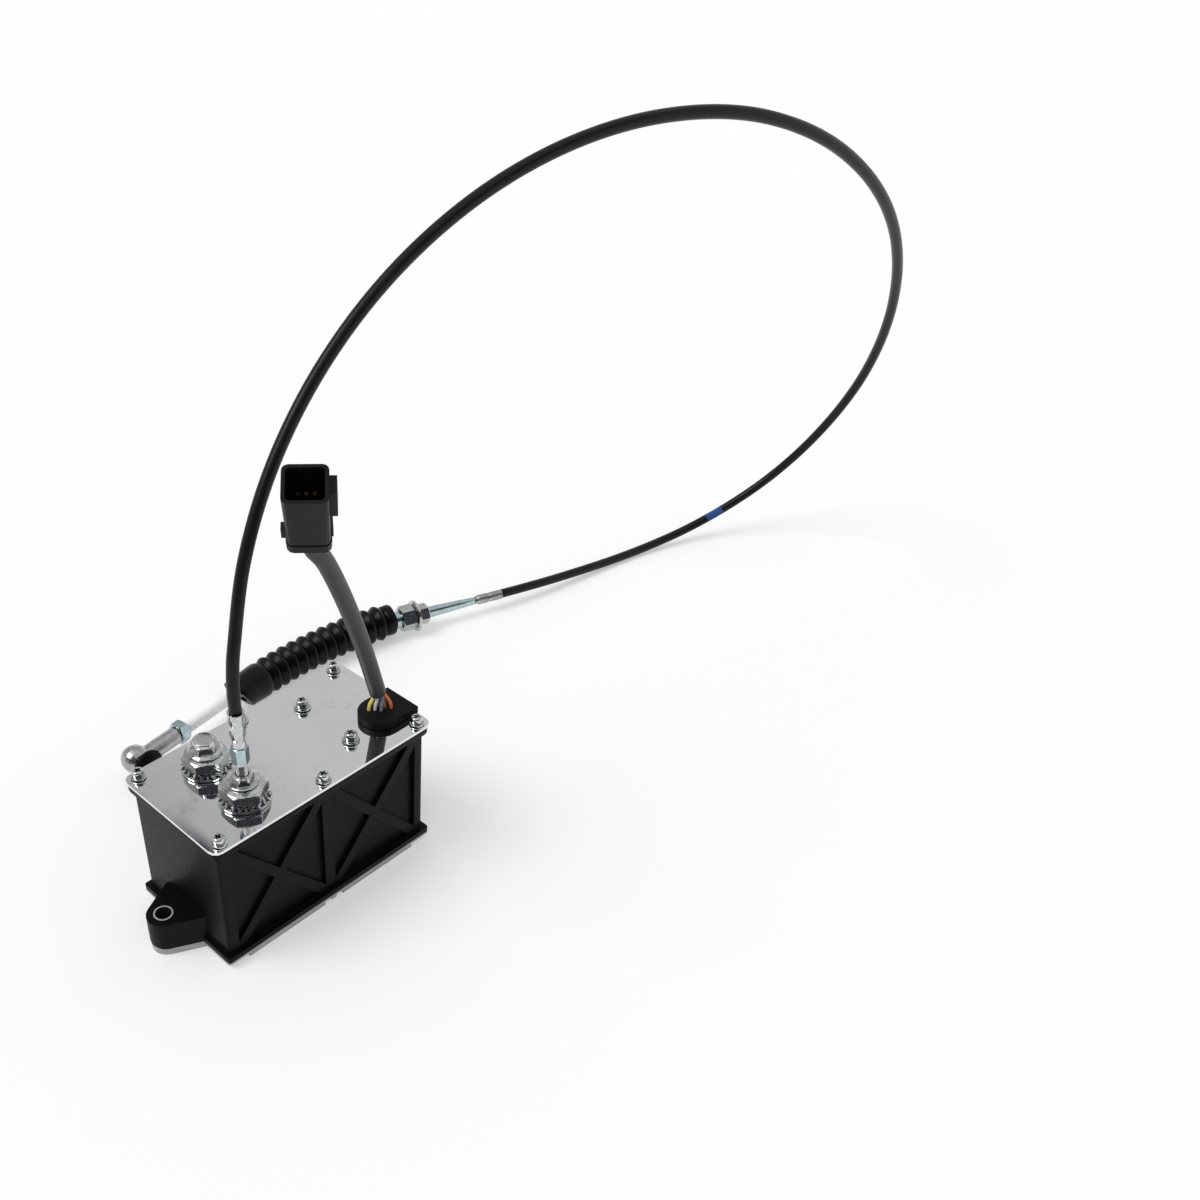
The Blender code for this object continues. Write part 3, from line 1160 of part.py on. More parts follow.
# Drum, its gear and shaft, in a frame that stands on the housing's floor
def build_drum():
    bore = circle(0, 0, SHAFT + GAP)
    rim = DRUM_HALF
    groove = DRUM_RADIUS - GROOVE_DEPTH
    drum = turned("cable_drum", (
        (SHAFT + GAP, rim), (DRUM_RIM, rim), (DRUM_RIM, DRUM_GROOVE), (groove, DRUM_GROOVE),
        (groove, -DRUM_GROOVE), (DRUM_RIM, -DRUM_GROOVE), (DRUM_RIM, -rim), (SHAFT + GAP, -rim),
    ), NYLON, 24)
    along_x(drum, DRUM_X, DRUM_Z)
    reach = DRUM_RADIUS - NIPPLE_INSET
    nipple_y = -reach * math.cos(NIPPLE_TURN)
    nipple_z = DRUM_Z - reach * math.sin(NIPPLE_TURN)
    pocket_low = NIPPLE_INSET - DRUM_HALF
    pocket = rod("nipple_pocket", NIPPLE + GAP, pocket_low, DRUM_HALF + OVERRUN, sides=12, cutter=True)
    cut(drum, along_x(pocket, DRUM_X, nipple_z, nipple_y))
    nipple = rod("core_end", NIPPLE, pocket_low + GAP, DRUM_HALF - GAP, BRASS, 12)
    along_x(nipple, DRUM_X, nipple_z, nipple_y)
    gear = slab("drum_gear", [gear_outline(GEAR_TEETH, 1), bore], -GEAR_FACE / 2, GEAR_FACE / 2, NYLON)
    along_x(gear, GEAR_X, DRUM_Z)
    shaft = rod("drum_shaft", SHAFT, CHEEK_LEFT - SHAFT_OUT[0], CHEEK_RIGHT + SHAFT_OUT[1], ZINC)
    along_x(shaft, 0.0, DRUM_Z)
    points = [Vector((DRUM_X, -DRUM_RADIUS, PORT_STEM_LOW + DRIVE_CORE_TOP)),
              Vector((DRUM_X, -DRUM_RADIUS, DRUM_Z))]
    last = NIPPLE_TURN - DRIVE_CORE_STOP
    for i in range(1, 7):
        turn = last * i / 6
        points.append(Vector((DRUM_X, -DRUM_RADIUS * math.cos(turn), DRUM_Z - DRUM_RADIUS * math.sin(turn))))
    tube("drive_core", points, DRIVE_CORE, ZINC)


def build_drum_frame():
    low = FLOOR_TOP + GAP
    base_size = (CHEEK_RIGHT - CHEEK_LEFT + 2 * CHEEK_THICKNESS, 2 * FRAME_HALF_WIDTH, FRAME_BASE)
    middle = ((CHEEK_LEFT + CHEEK_RIGHT) / 2, 0.0, low + FRAME_BASE / 2)
    frame = box("drum_frame", base_size, middle, ALUMINIUM)
    foot = low + CHEEK_SEAT - DRUM_Z
    outline = [(foot, CHEEK_FOOT), (foot, -CHEEK_FOOT)]
    for i in range(11):
        turn = -math.pi / 2 + math.pi * i / 10
        outline.append((CHEEK_RADIUS * math.cos(turn), CHEEK_RADIUS * math.sin(turn)))
    for x in (CHEEK_LEFT - CHEEK_THICKNESS / 2, CHEEK_RIGHT + CHEEK_THICKNESS / 2):
        half = CHEEK_THICKNESS / 2 - SKIN
        cheek = slab("cheek", [outline, circle(0, 0, SHAFT + GAP)], -half, half, cutter=True)
        unite(frame, along_x(cheek, x, DRUM_Z))
    sensor = ring("position_sensor", SENSOR_RADIUS, SHAFT + GAP, -SENSOR_LENGTH, 0.0, PLASTIC)
    along_x(sensor, CHEEK_LEFT - CHEEK_THICKNESS - GAP, DRUM_Z)


# Gear motor with its pinion, on an angle bracket that hangs from the cover
def build_motor():
    bracket_top = COVER_BOTTOM - GAP
    web_face = MOTOR_START - GAP
    start = web_face - WEB_THICKNESS
    end = FRAME_SCREW_X + BRACKET_MARGIN[0]
    size = (end - start, 2 * (FRAME_SCREW_Y + BRACKET_MARGIN[1]), WEB_THICKNESS)
    middle = ((start + end) / 2, 0.0, bracket_top - WEB_THICKNESS / 2)
    bracket = box("motor_bracket", size, middle, ALUMINIUM)
    web_low = PINION_Z - MOTOR_RADIUS
    web_high = bracket_top - WEB_THICKNESS / 2
    web = box("bracket_web", (WEB_THICKNESS - SKIN, 2 * MOTOR_RADIUS, web_high - web_low),
              (web_face - WEB_THICKNESS / 2, 0.0, (web_low + web_high) / 2), cutter=True)
    unite(bracket, web)
    window = rod("bracket_window", WEB_WINDOW, -2 * WEB_THICKNESS, WEB_THICKNESS, cutter=True)
    cut(bracket, along_x(window, web_face, PINION_Z))
    low = bracket_top - WEB_THICKNESS - OVERRUN
    holes = [(*place, FRAME_SCREW_SHANK + GAP, low, COVER_TOP) for place in frame_screw_places()]
    cut(bracket, pegs("bracket_holes", holes))
    gearbox = turned("gearbox", (
        (0, GEARBOX_LENGTH), (MOTOR_RADIUS, GEARBOX_LENGTH), (MOTOR_RADIUS, 0), (SPINDLE_BORE, 0),
        (SPINDLE_BORE, SPINDLE_DEPTH + OVERRUN), (0, SPINDLE_DEPTH + OVERRUN),
    ), ALUMINIUM)
    along_x(gearbox, MOTOR_START, PINION_Z)
    can = turned("motor_can", (
        (0, CAN_LENGTH), (MOTOR_CAN, CAN_LENGTH), (MOTOR_CAN, 0), (0, 0),
    ), ZINC)
    along_x(can, CAN_START, PINION_Z)
    turn = math.pi + math.pi / PINION_TEETH
    outline = spun(gear_outline(PINION_TEETH), turn)
    pinion = slab("pinion", [outline], -PINION_FACE / 2, PINION_FACE / 2, BRASS)
    along_x(pinion, GEAR_X, PINION_Z)
    spindle = rod("spindle", SPINDLE, GEAR_X, MOTOR_START + SPINDLE_DEPTH, sides=16, cutter=True)
    unite(pinion, along_x(spindle, 0.0, PINION_Z))


# Circuit board on four pillars and the header that takes the wires
def build_board():
    middle = ((BOARD_START + BOARD_END) / 2, 0.0, BOARD_Z + BOARD_THICKNESS / 2)
    size = (BOARD_END - BOARD_START, 2 * BOARD_HALF_WIDTH, BOARD_THICKNESS)
    board = box("circuit_board", size, middle, BOARD)
    low = BOARD_TOP - CHIP_SINK
    for x, y, length, width, height in CHIPS:
        place = (BOARD_START + x, y, low + height / 2)
        unite(board, box("chip", (length, width, height), place, cutter=True))
    place = (GROMMET_START + HEADER_PLACE[0], GROMMET_CENTRE_Y + HEADER_PLACE[1],
             HEADER_LOW + HEADER_SIZE[2] / 2)
    box("wire_header", HEADER_SIZE, place, NYLON)


build_housing()
build_base()
build_cover()
build_screws()
build_plug_stack()
build_cable_stack()
build_grommet()
build_wires()
build_harness()
build_cable()
build_far_fitting()
build_bellows()
build_rod_core()
build_rod_end()
build_drum()
build_drum_frame()
build_motor()
build_board()
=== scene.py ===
# %% [markdown]
# # An engine governor actuator, dressed for its portrait
# The part is a ribbed black box with a polished cover. A push-pull cable leaves the cover, swings
# over in a tall arch and ends in a threaded hub, a rubber bellows and a ball joint. A short
# harness ends in an open plug. Sizes are in metres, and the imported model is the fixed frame.

import json
import math

import bmesh
import bpy
from mathutils import Matrix, Vector


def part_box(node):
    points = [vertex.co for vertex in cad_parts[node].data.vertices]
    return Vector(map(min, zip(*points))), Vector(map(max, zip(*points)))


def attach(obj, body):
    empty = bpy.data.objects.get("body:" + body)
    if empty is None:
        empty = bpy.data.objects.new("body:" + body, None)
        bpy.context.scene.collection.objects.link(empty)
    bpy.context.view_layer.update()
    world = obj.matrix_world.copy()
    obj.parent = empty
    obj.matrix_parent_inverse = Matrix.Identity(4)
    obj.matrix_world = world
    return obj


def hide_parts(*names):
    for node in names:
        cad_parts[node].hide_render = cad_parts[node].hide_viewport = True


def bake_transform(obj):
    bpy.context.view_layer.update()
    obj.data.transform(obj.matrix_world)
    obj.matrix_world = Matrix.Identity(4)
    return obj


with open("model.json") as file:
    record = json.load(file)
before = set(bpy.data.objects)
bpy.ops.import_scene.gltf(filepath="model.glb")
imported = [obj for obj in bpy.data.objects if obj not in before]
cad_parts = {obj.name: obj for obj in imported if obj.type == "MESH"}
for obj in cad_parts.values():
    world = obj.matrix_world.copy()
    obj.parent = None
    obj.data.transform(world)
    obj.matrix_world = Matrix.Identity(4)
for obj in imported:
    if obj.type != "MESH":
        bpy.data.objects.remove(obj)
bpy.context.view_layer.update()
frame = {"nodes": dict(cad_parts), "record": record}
nodes = frame["nodes"]

# %% [markdown]
# ## Camera
# A camera could be aimed at the object by eye. Here its place, its turn and its focal length were
# solved from the corners of the cover and the base, whose sizes are known. The object stands low
# and left in a wide frame, so the lens is shifted instead of turned, which keeps the verticals.

# %% Camera
FRAME_PIXELS = 1200
FOCAL_PIXELS = 1213.1
CENTRE_PIXELS = (382.4, 755.8)
CAMERA_PLACE = Vector((-0.2892, -0.3884, 0.4851))
AZIMUTH = math.radians(-42.87)
ELEVATION = math.radians(40.19)
ROLL = math.radians(-0.70)

away = Vector((-math.sin(AZIMUTH) * math.cos(ELEVATION), math.cos(AZIMUTH) * math.cos(ELEVATION),
               -math.sin(ELEVATION)))
level = Vector((math.cos(AZIMUTH), math.sin(AZIMUTH), 0.0))
upright = level.cross(away)
right = level * math.cos(ROLL) + upright * math.sin(ROLL)
up = upright * math.cos(ROLL) - level * math.sin(ROLL)

lens = bpy.data.cameras.new("portrait_camera")
lens.sensor_width = 36.0
lens.lens = FOCAL_PIXELS / FRAME_PIXELS * lens.sensor_width
lens.shift_x = 0.5 - CENTRE_PIXELS[0] / FRAME_PIXELS
lens.shift_y = CENTRE_PIXELS[1] / FRAME_PIXELS - 0.5
camera = bpy.data.objects.new("portrait_camera", lens)
bpy.context.scene.collection.objects.link(camera)
turn = Matrix((right, up, -away)).transposed()
camera.matrix_world = Matrix.Translation(CAMERA_PLACE) @ turn.to_4x4()
bpy.context.scene.camera = camera
print("lens", round(lens.lens, 2), "mm, shift", round(lens.shift_x, 3), round(lens.shift_y, 3))

# %% [markdown]
# ## Finishes
# Each real finish is a colour that wanders a little, a gloss that wanders with it, and a fine
# grain. Images could carry that, but every piece would have to be unwrapped. One helper builds
# it from three noise textures on Object coordinates instead, so that a finish keeps its scale on
# every piece. The gloss reads its noise from another place than the colour does. Values that are
# the same all over sit on the shader.

# %% Finish helper
GLOSS_PLACE = (0.31, 0.17, 0.05)


def noise(tree, size, detail=3.0, squeeze=(1.0, 1.0, 1.0), place=(0.0, 0.0, 0.0)):
    where = tree.nodes.new("ShaderNodeTexCoord")
    mapping = tree.nodes.new("ShaderNodeMapping")
    mapping.inputs["Scale"].default_value = squeeze
    mapping.inputs["Location"].default_value = place
    made = tree.nodes.new("ShaderNodeTexNoise")
    made.inputs["Scale"].default_value = 1.0 / size
    made.inputs["Detail"].default_value = detail
    tree.links.new(where.outputs["Object"], mapping.inputs["Vector"])
    tree.links.new(mapping.outputs["Vector"], made.inputs["Vector"])
    return made.outputs["Fac"]


def spread(tree, value, low, high, start=0.3, end=0.7):
    ranged = tree.nodes.new("ShaderNodeMapRange")
    ranged.inputs["From Min"].default_value = start
    ranged.inputs["From Max"].default_value = end
    ranged.inputs["To Min"].default_value = low
    ranged.inputs["To Max"].default_value = high
    tree.links.new(value, ranged.inputs["Value"])
    return ranged.outputs["Result"]


def blended(tree, share, first, second):
    mix = tree.nodes.new("ShaderNodeMix")
    mix.data_type = "RGBA"
    for socket, colour in ((mix.inputs[6], first), (mix.inputs[7], second)):
        if isinstance(colour, tuple):
            socket.default_value = (*colour, 1.0)
        else:
            tree.links.new(colour, socket)
    tree.links.new(share, mix.inputs[0])
    return mix.outputs[2]


def finish(name, light, dark, gloss, metallic=0.0, patch=0.008, grain=0.0005, relief=0.00001,
           squeeze=(1, 1, 1), shine=0.5):
    made = bpy.data.materials.new(name)
    made.use_nodes = True
    tree = made.node_tree
    shader = tree.nodes["Principled BSDF"]
    shader.inputs["Metallic"].default_value = metallic
    shader.inputs["Specular IOR Level"].default_value = shine
    tone = blended(tree, spread(tree, noise(tree, patch, 4.0, squeeze), 0.0, 1.0), light, dark)
    tree.links.new(tone, shader.inputs["Base Color"])
    dulling = spread(tree, noise(tree, patch / 3, 2.0, squeeze, GLOSS_PLACE), *gloss)
    tree.links.new(dulling, shader.inputs["Roughness"])
    bump = tree.nodes.new("ShaderNodeBump")
    bump.inputs["Distance"].default_value = relief
    tree.links.new(noise(tree, grain, 2.0, squeeze), bump.inputs["Height"])
    tree.links.new(bump.outputs["Normal"], shader.inputs["Normal"])
    return made


# %% [markdown]
# The housing is glass-filled plastic, near black, with a fine spark-eroded grain. The bellows is
# as dark and a little shinier, and the grommet and the dust boot are duller. Small hardware is
# zinc plated: a bright metal, greenish on the nuts and screws and bluer on the coupling, the
# rod's nut and the threaded hub. The base plate has its noise drawn out along the rolling. Each
# finish is one call with its two colours and its range of gloss, so that they can be compared.

# %% Finishes
PLASTIC = finish("black_plastic", (0.0040, 0.0040, 0.0043), (0.0028, 0.0028, 0.0031),
                 (0.40, 0.45), grain=0.0030, relief=0.000003, shine=0.085)
PLUG_PLASTIC = finish("plug_plastic", (0.0060, 0.0060, 0.0065), (0.0045, 0.0045, 0.0050),
                      (0.34, 0.40), relief=0.000003, shine=0.17)
RUBBER = finish("black_rubber", (0.0035, 0.0035, 0.004), (0.002, 0.002, 0.0025), (0.26, 0.38),
                patch=0.004, relief=0.000004, shine=0.16)
MATT_RUBBER = finish("matt_rubber", (0.004, 0.004, 0.004), (0.0025, 0.0025, 0.0025),
                     (0.50, 0.65), shine=0.12)
SLEEVE = finish("grey_sleeve", (0.050, 0.050, 0.051), (0.038, 0.038, 0.039), (0.40, 0.50),
                patch=0.005, shine=0.25)
ZINC = finish("zinc_plate", (0.64, 0.66, 0.645), (0.46, 0.485, 0.47), (0.08, 0.17),
              metallic=1.0, patch=0.0025, grain=0.0006, relief=0.000003)
BLUE_ZINC = finish("blue_zinc", (0.50, 0.61, 0.62), (0.36, 0.46, 0.49), (0.10, 0.20),
                   metallic=1.0, patch=0.0030, grain=0.0006, relief=0.000003)
CASTING = finish("cast_zinc", (0.50, 0.50, 0.505), (0.36, 0.36, 0.365), (0.22, 0.34),
                 metallic=1.0, patch=0.0030, grain=0.0008, relief=0.000008)
CHROME = finish("ground_chrome", (1.0, 1.0, 1.0), (0.97, 0.97, 0.97), (0.30, 0.34),
                metallic=0.08, patch=0.030, relief=0.0)
ALUMINIUM = finish("rolled_aluminium", (0.42, 0.42, 0.42), (0.32, 0.32, 0.32), (0.34, 0.48),
                   metallic=0.7, patch=0.004, squeeze=(0.2, 1, 1))
# The plug's terminals: brass given a nearly black colour.
NEAR_BLACK_BRASS = finish("near_black_brass", (0.05, 0.036, 0.014), (0.03, 0.021, 0.008), (0.35, 0.50),
                    metallic=1.0)
GASKET = finish("gasket_rubber", (0.012, 0.012, 0.012), (0.008, 0.008, 0.008), (0.60, 0.70))
NYLON = finish("white_nylon", (0.72, 0.71, 0.67), (0.64, 0.63, 0.58), (0.40, 0.50))
BRASS = finish("brass", (0.70, 0.52, 0.22), (0.58, 0.42, 0.16), (0.20, 0.32), metallic=1.0)
LAMINATE = finish("board_laminate", (0.02, 0.16, 0.06), (0.015, 0.12, 0.045), (0.35, 0.45))
WIRE_TONES = {
    "yellow": ((0.80, 0.66, 0.18), (0.70, 0.56, 0.13)),
    "white": ((0.80, 0.78, 0.72), (0.70, 0.68, 0.62)),
    "grey": ((0.22, 0.22, 0.30), (0.17, 0.17, 0.24)),
    "brown": ((0.44, 0.20, 0.10), (0.36, 0.15, 0.07)),
    "orange": ((0.80, 0.20, 0.05), (0.68, 0.15, 0.04)),
    "blue": ((0.04, 0.22, 0.58), (0.03, 0.17, 0.48)),
}
WIRE_FINISH = {tint: finish("wire_" + tint + "_sleeve", *tones, (0.30, 0.42), patch=0.004)
               for tint, tones in WIRE_TONES.items()}
print("finishes:", len(bpy.data.materials))

# %% [markdown]
# ## The polished cover's finish
# The cover is a mirror with a life behind it: cloudy places where it was handled, and small
# flecks inside them. One noise alone would look like marble. A broad one and a fine one are
# multiplied, so that flecks show only inside the clouds. The flecks darken the metal, and the
# clouds dull its gloss.

# %% Cover finish
CLOUD_SIZE = 0.022
FLECK_SIZE = 0.0045
SMUDGE_TONE = (0.42, 0.41, 0.405)


def crossed(tree, first, second, kind):
    made = tree.nodes.new("ShaderNodeMath")
    made.operation = kind
    for socket, value in zip(made.inputs, (first, second)):
        tree.links.new(value, socket)
    return made.outputs[0]


def cover_finish():
    made = finish("polished_cover", (0.83, 0.83, 0.835), (0.78, 0.78, 0.785), (0.03, 0.06),
                  metallic=1.0, patch=0.05, grain=0.002, relief=0.0)
    tree = made.node_tree
    shader = tree.nodes["Principled BSDF"]
    base = shader.inputs["Base Color"].links[0].from_socket
    cloud = noise(tree, CLOUD_SIZE, 2.0, place=(0.43, 0.12, 0.0))
    cloud = spread(tree, cloud, 0.0, 1.0, 0.50, 0.78)
    fleck = noise(tree, FLECK_SIZE, 1.5, place=(0.2, 0.7, 0.0))
    fleck = spread(tree, fleck, 0.0, 1.0, 0.52, 0.86)
    smudged = blended(tree, crossed(tree, cloud, fleck, "MULTIPLY"), base, SMUDGE_TONE)
    tree.links.new(smudged, shader.inputs["Base Color"])
    tree.links.new(spread(tree, cloud, 0.02, 0.13, 0.0, 1.0), shader.inputs["Roughness"])
    return made


COVER = cover_finish()
print("cover finish:", COVER.name)

# %% [markdown]
# ## Placing pieces
# An object could carry its own place and turn. Here every finished piece sits at the origin with
# its place in its mesh, so that a pattern on Object coordinates stays put in an export. One
# helper bakes a shape's place, shades it, keeps edges over a given angle sharp, and ties it to
# the body it moves with. A second one gives the place of a piece that stands on its own axis.

# %% Placing helper
def placed(shape, name, material, body="actuator", stands_for=(), place=None,
           sharp=35.0):
    if place is not None:
        shape.transform(place)
    bmesh.ops.recalc_face_normals(shape, faces=shape.faces)
    mesh = bpy.data.meshes.new(name)
    shape.to_mesh(mesh)
    shape.free()
    mesh.materials.append(material)
    mesh.shade_smooth()
    mesh.set_sharp_from_angle(angle=math.radians(sharp))
    made = bpy.data.objects.new(name, mesh)
    bpy.context.scene.collection.objects.link(made)
    if body:
        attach(made, body)
    if stands_for:
        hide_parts(*stands_for)
    print(name, "has", len(mesh.polygons), "faces")
    return made


def standing(origin, axis):
    skyward = Vector((0.0, 0.0, 1.0))
    z_axis = Vector(axis).normalized()
    x_axis = (skyward - z_axis * z_axis.dot(skyward)).normalized()
    turned = Matrix((x_axis, z_axis.cross(x_axis), z_axis)).transposed()
    return Matrix.Translation(origin) @ turned.to_4x4()


# %% [markdown]
# ## Rings that grow into a piece
# Nuts, crimps, washers, studs and folds could be put together from cylinders. They are also all
# one ring of points pulled along a line while its size changes, which is shorter and leaves no
# overlaps. The ring starts as a circle, extrude_edge_only grows it, and where a station
# names its width across flats the ring is pressed against a hexagon. A cone that meets a
# hexagon draws the curved chamfer of a real nut by itself. A closed piece, such as a washer,
# joins its last ring to its first, and an open one is capped at both ends.

# %% Growing helper
def pressed(radius, flats, angle):
    if not flats:
        return radius
    sixth = math.pi / 3
    return min(radius, flats / 2 / math.cos((angle + sixth / 2) % sixth - sixth / 2))


def grown(stations, sides=72, closed=False, places=None):
    # Stations are (height, radius, flats); places are frames that take the heights' part.
    frames = places or [Matrix.Translation((0, 0, height)) for height, radius, flats in stations]
    if closed:
        stations = [*stations, stations[0]]
        frames = [*frames, frames[0]]
    shape = bmesh.new()
    ring = bmesh.ops.create_circle(shape, segments=sides, radius=1.0)["verts"]
    loop = list(shape.edges)
    turns = {corner: math.atan2(corner.co.y, corner.co.x) for corner in ring}
    for step, (frame_now, (height, radius, flats)) in enumerate(zip(frames, stations)):
        if step:
            made = bmesh.ops.extrude_edge_only(shape, edges=loop)["geom"]
            ring = [part for part in made if isinstance(part, bmesh.types.BMVert)]
            loop = [part for part in made
                    if isinstance(part, bmesh.types.BMEdge) and part.is_boundary]
            back = before.inverted()
            turns = {}
            for corner in ring:
                local = back @ corner.co
                turns[corner] = math.atan2(local.y, local.x)
        for corner, angle in turns.items():
            reach = pressed(radius, flats, angle)
            around = Vector((reach * math.cos(angle), reach * math.sin(angle), 0.0))
            corner.co = frame_now @ around
        before = frame_now
    if closed:
        bmesh.ops.remove_doubles(shape, verts=shape.verts, dist=1e-7)
    else:
        open_edges = [line for line in shape.edges if line.is_boundary]
        bmesh.ops.holes_fill(shape, edges=open_edges, sides=0)
    return shape


CHAMFER = math.tan(math.radians(28))
CORNER_EASE = 0.995
FACE_SHARE = 0.97
BORE_LEAD = 0.0004


def nut_stations(low, high, flats, bore, steps=5):
    corner = flats / math.sqrt(3) * CORNER_EASE
    face = flats / 2 * FACE_SHARE
    drop = (corner - face) * CHAMFER
    rising = []
    for i in range(steps + 1):
        share = i / steps
        rising.append((drop * share, face + (corner - face) * share))
    outside = [(low + height, radius, flats) for height, radius in rising]
    outside += [(high - height, radius, flats) for height, radius in reversed(rising)]
    if not bore:
        return outside
    return [*outside, (high, bore + BORE_LEAD, 0), (high - BORE_LEAD, bore, 0),
            (low + BORE_LEAD, bore, 0), (low, bore + BORE_LEAD, 0)]


# %% [markdown]
# ## Moulded and pressed pieces
# The housing, the base, the cover and the plug's shell already have their true form in the
# frame. What they lack is the small radius on every edge, where the light catches. It could be
# modelled edge by edge. A live Bevel does all of them at once: a copy is merged, its flat
# triangles are dissolved, and the modifier rounds each edge over an angle.

# %% Softening helper
SAME_SPOT = 2e-6
FLAT_ANGLE = math.radians(0.05)
SHARP_ANGLE = math.radians(40.0)


def merged_copy(node):
    shape = bmesh.new()
    shape.from_mesh(nodes[node].data)
    bmesh.ops.remove_doubles(shape, verts=shape.verts, dist=SAME_SPOT)
    return shape


def softened(node, name, material, width, body="actuator", segments=2, angle=28.0):
    shape = merged_copy(node)
    bmesh.ops.dissolve_limit(shape, angle_limit=FLAT_ANGLE, verts=shape.verts, edges=shape.edges)
    mesh = bpy.data.meshes.new(name)
    shape.to_mesh(mesh)
    shape.free()
    mesh.materials.clear()
    mesh.materials.append(material)
    mesh.shade_smooth()
    mesh.set_sharp_from_angle(angle=SHARP_ANGLE)
    made = bpy.data.objects.new(name, mesh)
    bpy.context.scene.collection.objects.link(made)
    bevel = made.modifiers.new("eased_edges", "BEVEL")
    bevel.width = width
    bevel.segments = segments
    bevel.limit_method = "ANGLE"
    bevel.angle_limit = math.radians(angle)
    bevel.harden_normals = True
    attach(made, body)
    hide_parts(node)
    print(name, "has", len(mesh.polygons), "faces before its bevel")


# %% [markdown]
# ## Cords
# The control cable stands as a stiff arch from the fitting on the cover to the far ferrule. Its
# line is a chosen route, read as one smooth curve through all its points, and it is seen from
# end to end, so what shows is its length. A curve with a round bevel is the plain way to draw a
# cord.

# %% Cord helper
def smooth_route(route, parts=8):
    points = [Vector(point) for point in route]
    ends = [2 * points[0] - points[1], *points, 2 * points[-1] - points[-2]]
    fine = []
    for before, start, end, after in zip(ends, ends[1:], ends[2:], ends[3:]):
        for i in range(parts):
            t = i / parts
            fine.append(0.5 * (2 * start + (end - before) * t
                               + (2 * before - 5 * start + 4 * end - after) * t ** 2
                               + (3 * start - before - 3 * end + after) * t ** 3))
    return [*fine, points[-1]]


def cord_curve(name, points, diameter, material, roundness=6):
    line = bpy.data.curves.new(name, "CURVE")
    line.dimensions = "3D"
    line.bevel_depth = diameter / 2
    line.bevel_resolution = roundness
    line.use_fill_caps = True
    spline = line.splines.new("POLY")
    spline.points.add(len(points) - 1)
    for spot, point in zip(spline.points, points):
        spot.co = (*point, 1.0)
    spline.use_smooth = True
    line.materials.append(material)
    made = bpy.data.objects.new(name, line)
    bpy.context.scene.collection.objects.link(made)
    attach(made, "actuator")
    return made


# %% [markdown]
# The jacket is smooth black plastic. A blue paint mark shows where the cable is clamped. A short
# second tube could stand for it, but it would leave a step. Here the jacket's own colour turns
# blue inside a small ball round that spot.

# %% Cable jacket finish
MARK_PLACE = (0.4706, 0.0492, 0.0186)
MARK_REACH = 0.0074
MARK_BLUR = 0.0004
MARK_BLUE = (0.022, 0.07, 0.22)


def jacket_finish():
    made = finish("cable_jacket", (0.009, 0.009, 0.009), (0.006, 0.006, 0.006), (0.28, 0.36),
                  patch=0.005, shine=0.20)
    tree = made.node_tree
    shader = tree.nodes["Principled BSDF"]
    where = tree.nodes.new("ShaderNodeTexCoord")
    away_from = tree.nodes.new("ShaderNodeVectorMath")
    away_from.operation = "DISTANCE"
    away_from.inputs[1].default_value = MARK_PLACE
    tree.links.new(where.outputs["Object"], away_from.inputs[0])
    edge = spread(tree, away_from.outputs["Value"], 1.0, 0.0, MARK_REACH - MARK_BLUR,
                  MARK_REACH + MARK_BLUR)
    base = shader.inputs["Base Color"].links[0].from_socket
    tree.links.new(blended(tree, edge, base, MARK_BLUE), shader.inputs["Base Color"])
    return made


JACKET = jacket_finish()
print("blue mark:", round(2000 * MARK_REACH, 1), "mm long")

# %% [markdown]
# The cable has a wound steel conduit under its jacket, which holds the arch up. A limp cord could
# be dropped by a simulation, but a stiff one is better drawn. Its points follow the cable in the
# photograph from the fitting, straight up at first, over the top and down to the floor, where it
# runs nearly level into the far ferrule.

# %% Control cable
CABLE_DIAMETER = 0.0063
CABLE_ROUTE = (
    (-0.0365, -0.0160, 0.1376),
    (-0.0365, -0.0160, 0.1476),
    (-0.0349, -0.0150, 0.1590),
    (-0.0312, -0.0132, 0.1715),
    (-0.0186, -0.0078, 0.2032),
    (0.0000, -0.0024, 0.2321),
    (0.0228, 0.0013, 0.2581),
    (0.0487, 0.0027, 0.2814),
    (0.0766, 0.0011, 0.3022),
    (0.1062, -0.0034, 0.3201),
    (0.1372, -0.0102, 0.3344),
    (0.1694, -0.0186, 0.3444),
    (0.2026, -0.0279, 0.3497),
    (0.2362, -0.0372, 0.3500),
    (0.2696, -0.0459, 0.3456),
    (0.3024, -0.0533, 0.3363),
    (0.3341, -0.0586, 0.3230),
    (0.3645, -0.0615, 0.3062),
    (0.3935, -0.0616, 0.2870),
    (0.4210, -0.0590, 0.2657),
    (0.4465, -0.0542, 0.2425),
    (0.4698, -0.0476, 0.2174),
    (0.4903, -0.0394, 0.1905),
    (0.5069, -0.0294, 0.1616),
    (0.5180, -0.0174, 0.1309),
    (0.5214, -0.0030, 0.0994),
    (0.5159, 0.0130, 0.0690),
    (0.5011, 0.0297, 0.0425),
    (0.4775, 0.0456, 0.0225),
    (0.4480, 0.0589, 0.0098),
    (0.4151, 0.0686, 0.0045),
    (0.3809, 0.0753, 0.0041),
    (0.3466, 0.0809, 0.0062),
    (0.3123, 0.0868, 0.0089),
    (0.2785, 0.0948, 0.0110),
)
cable_line = smooth_route(CABLE_ROUTE)
cable = cord_curve("cable", cable_line, CABLE_DIAMETER, JACKET)
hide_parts("control_cable")

# %% [markdown]
# The harness sleeve is a grey heat-shrink tube, a medium cord between the wires at the grommet
# and the plug. It leans back over the cover without touching it. Its bend is as plain as the
# cable's, so it is drawn in the same way on a route of its own.

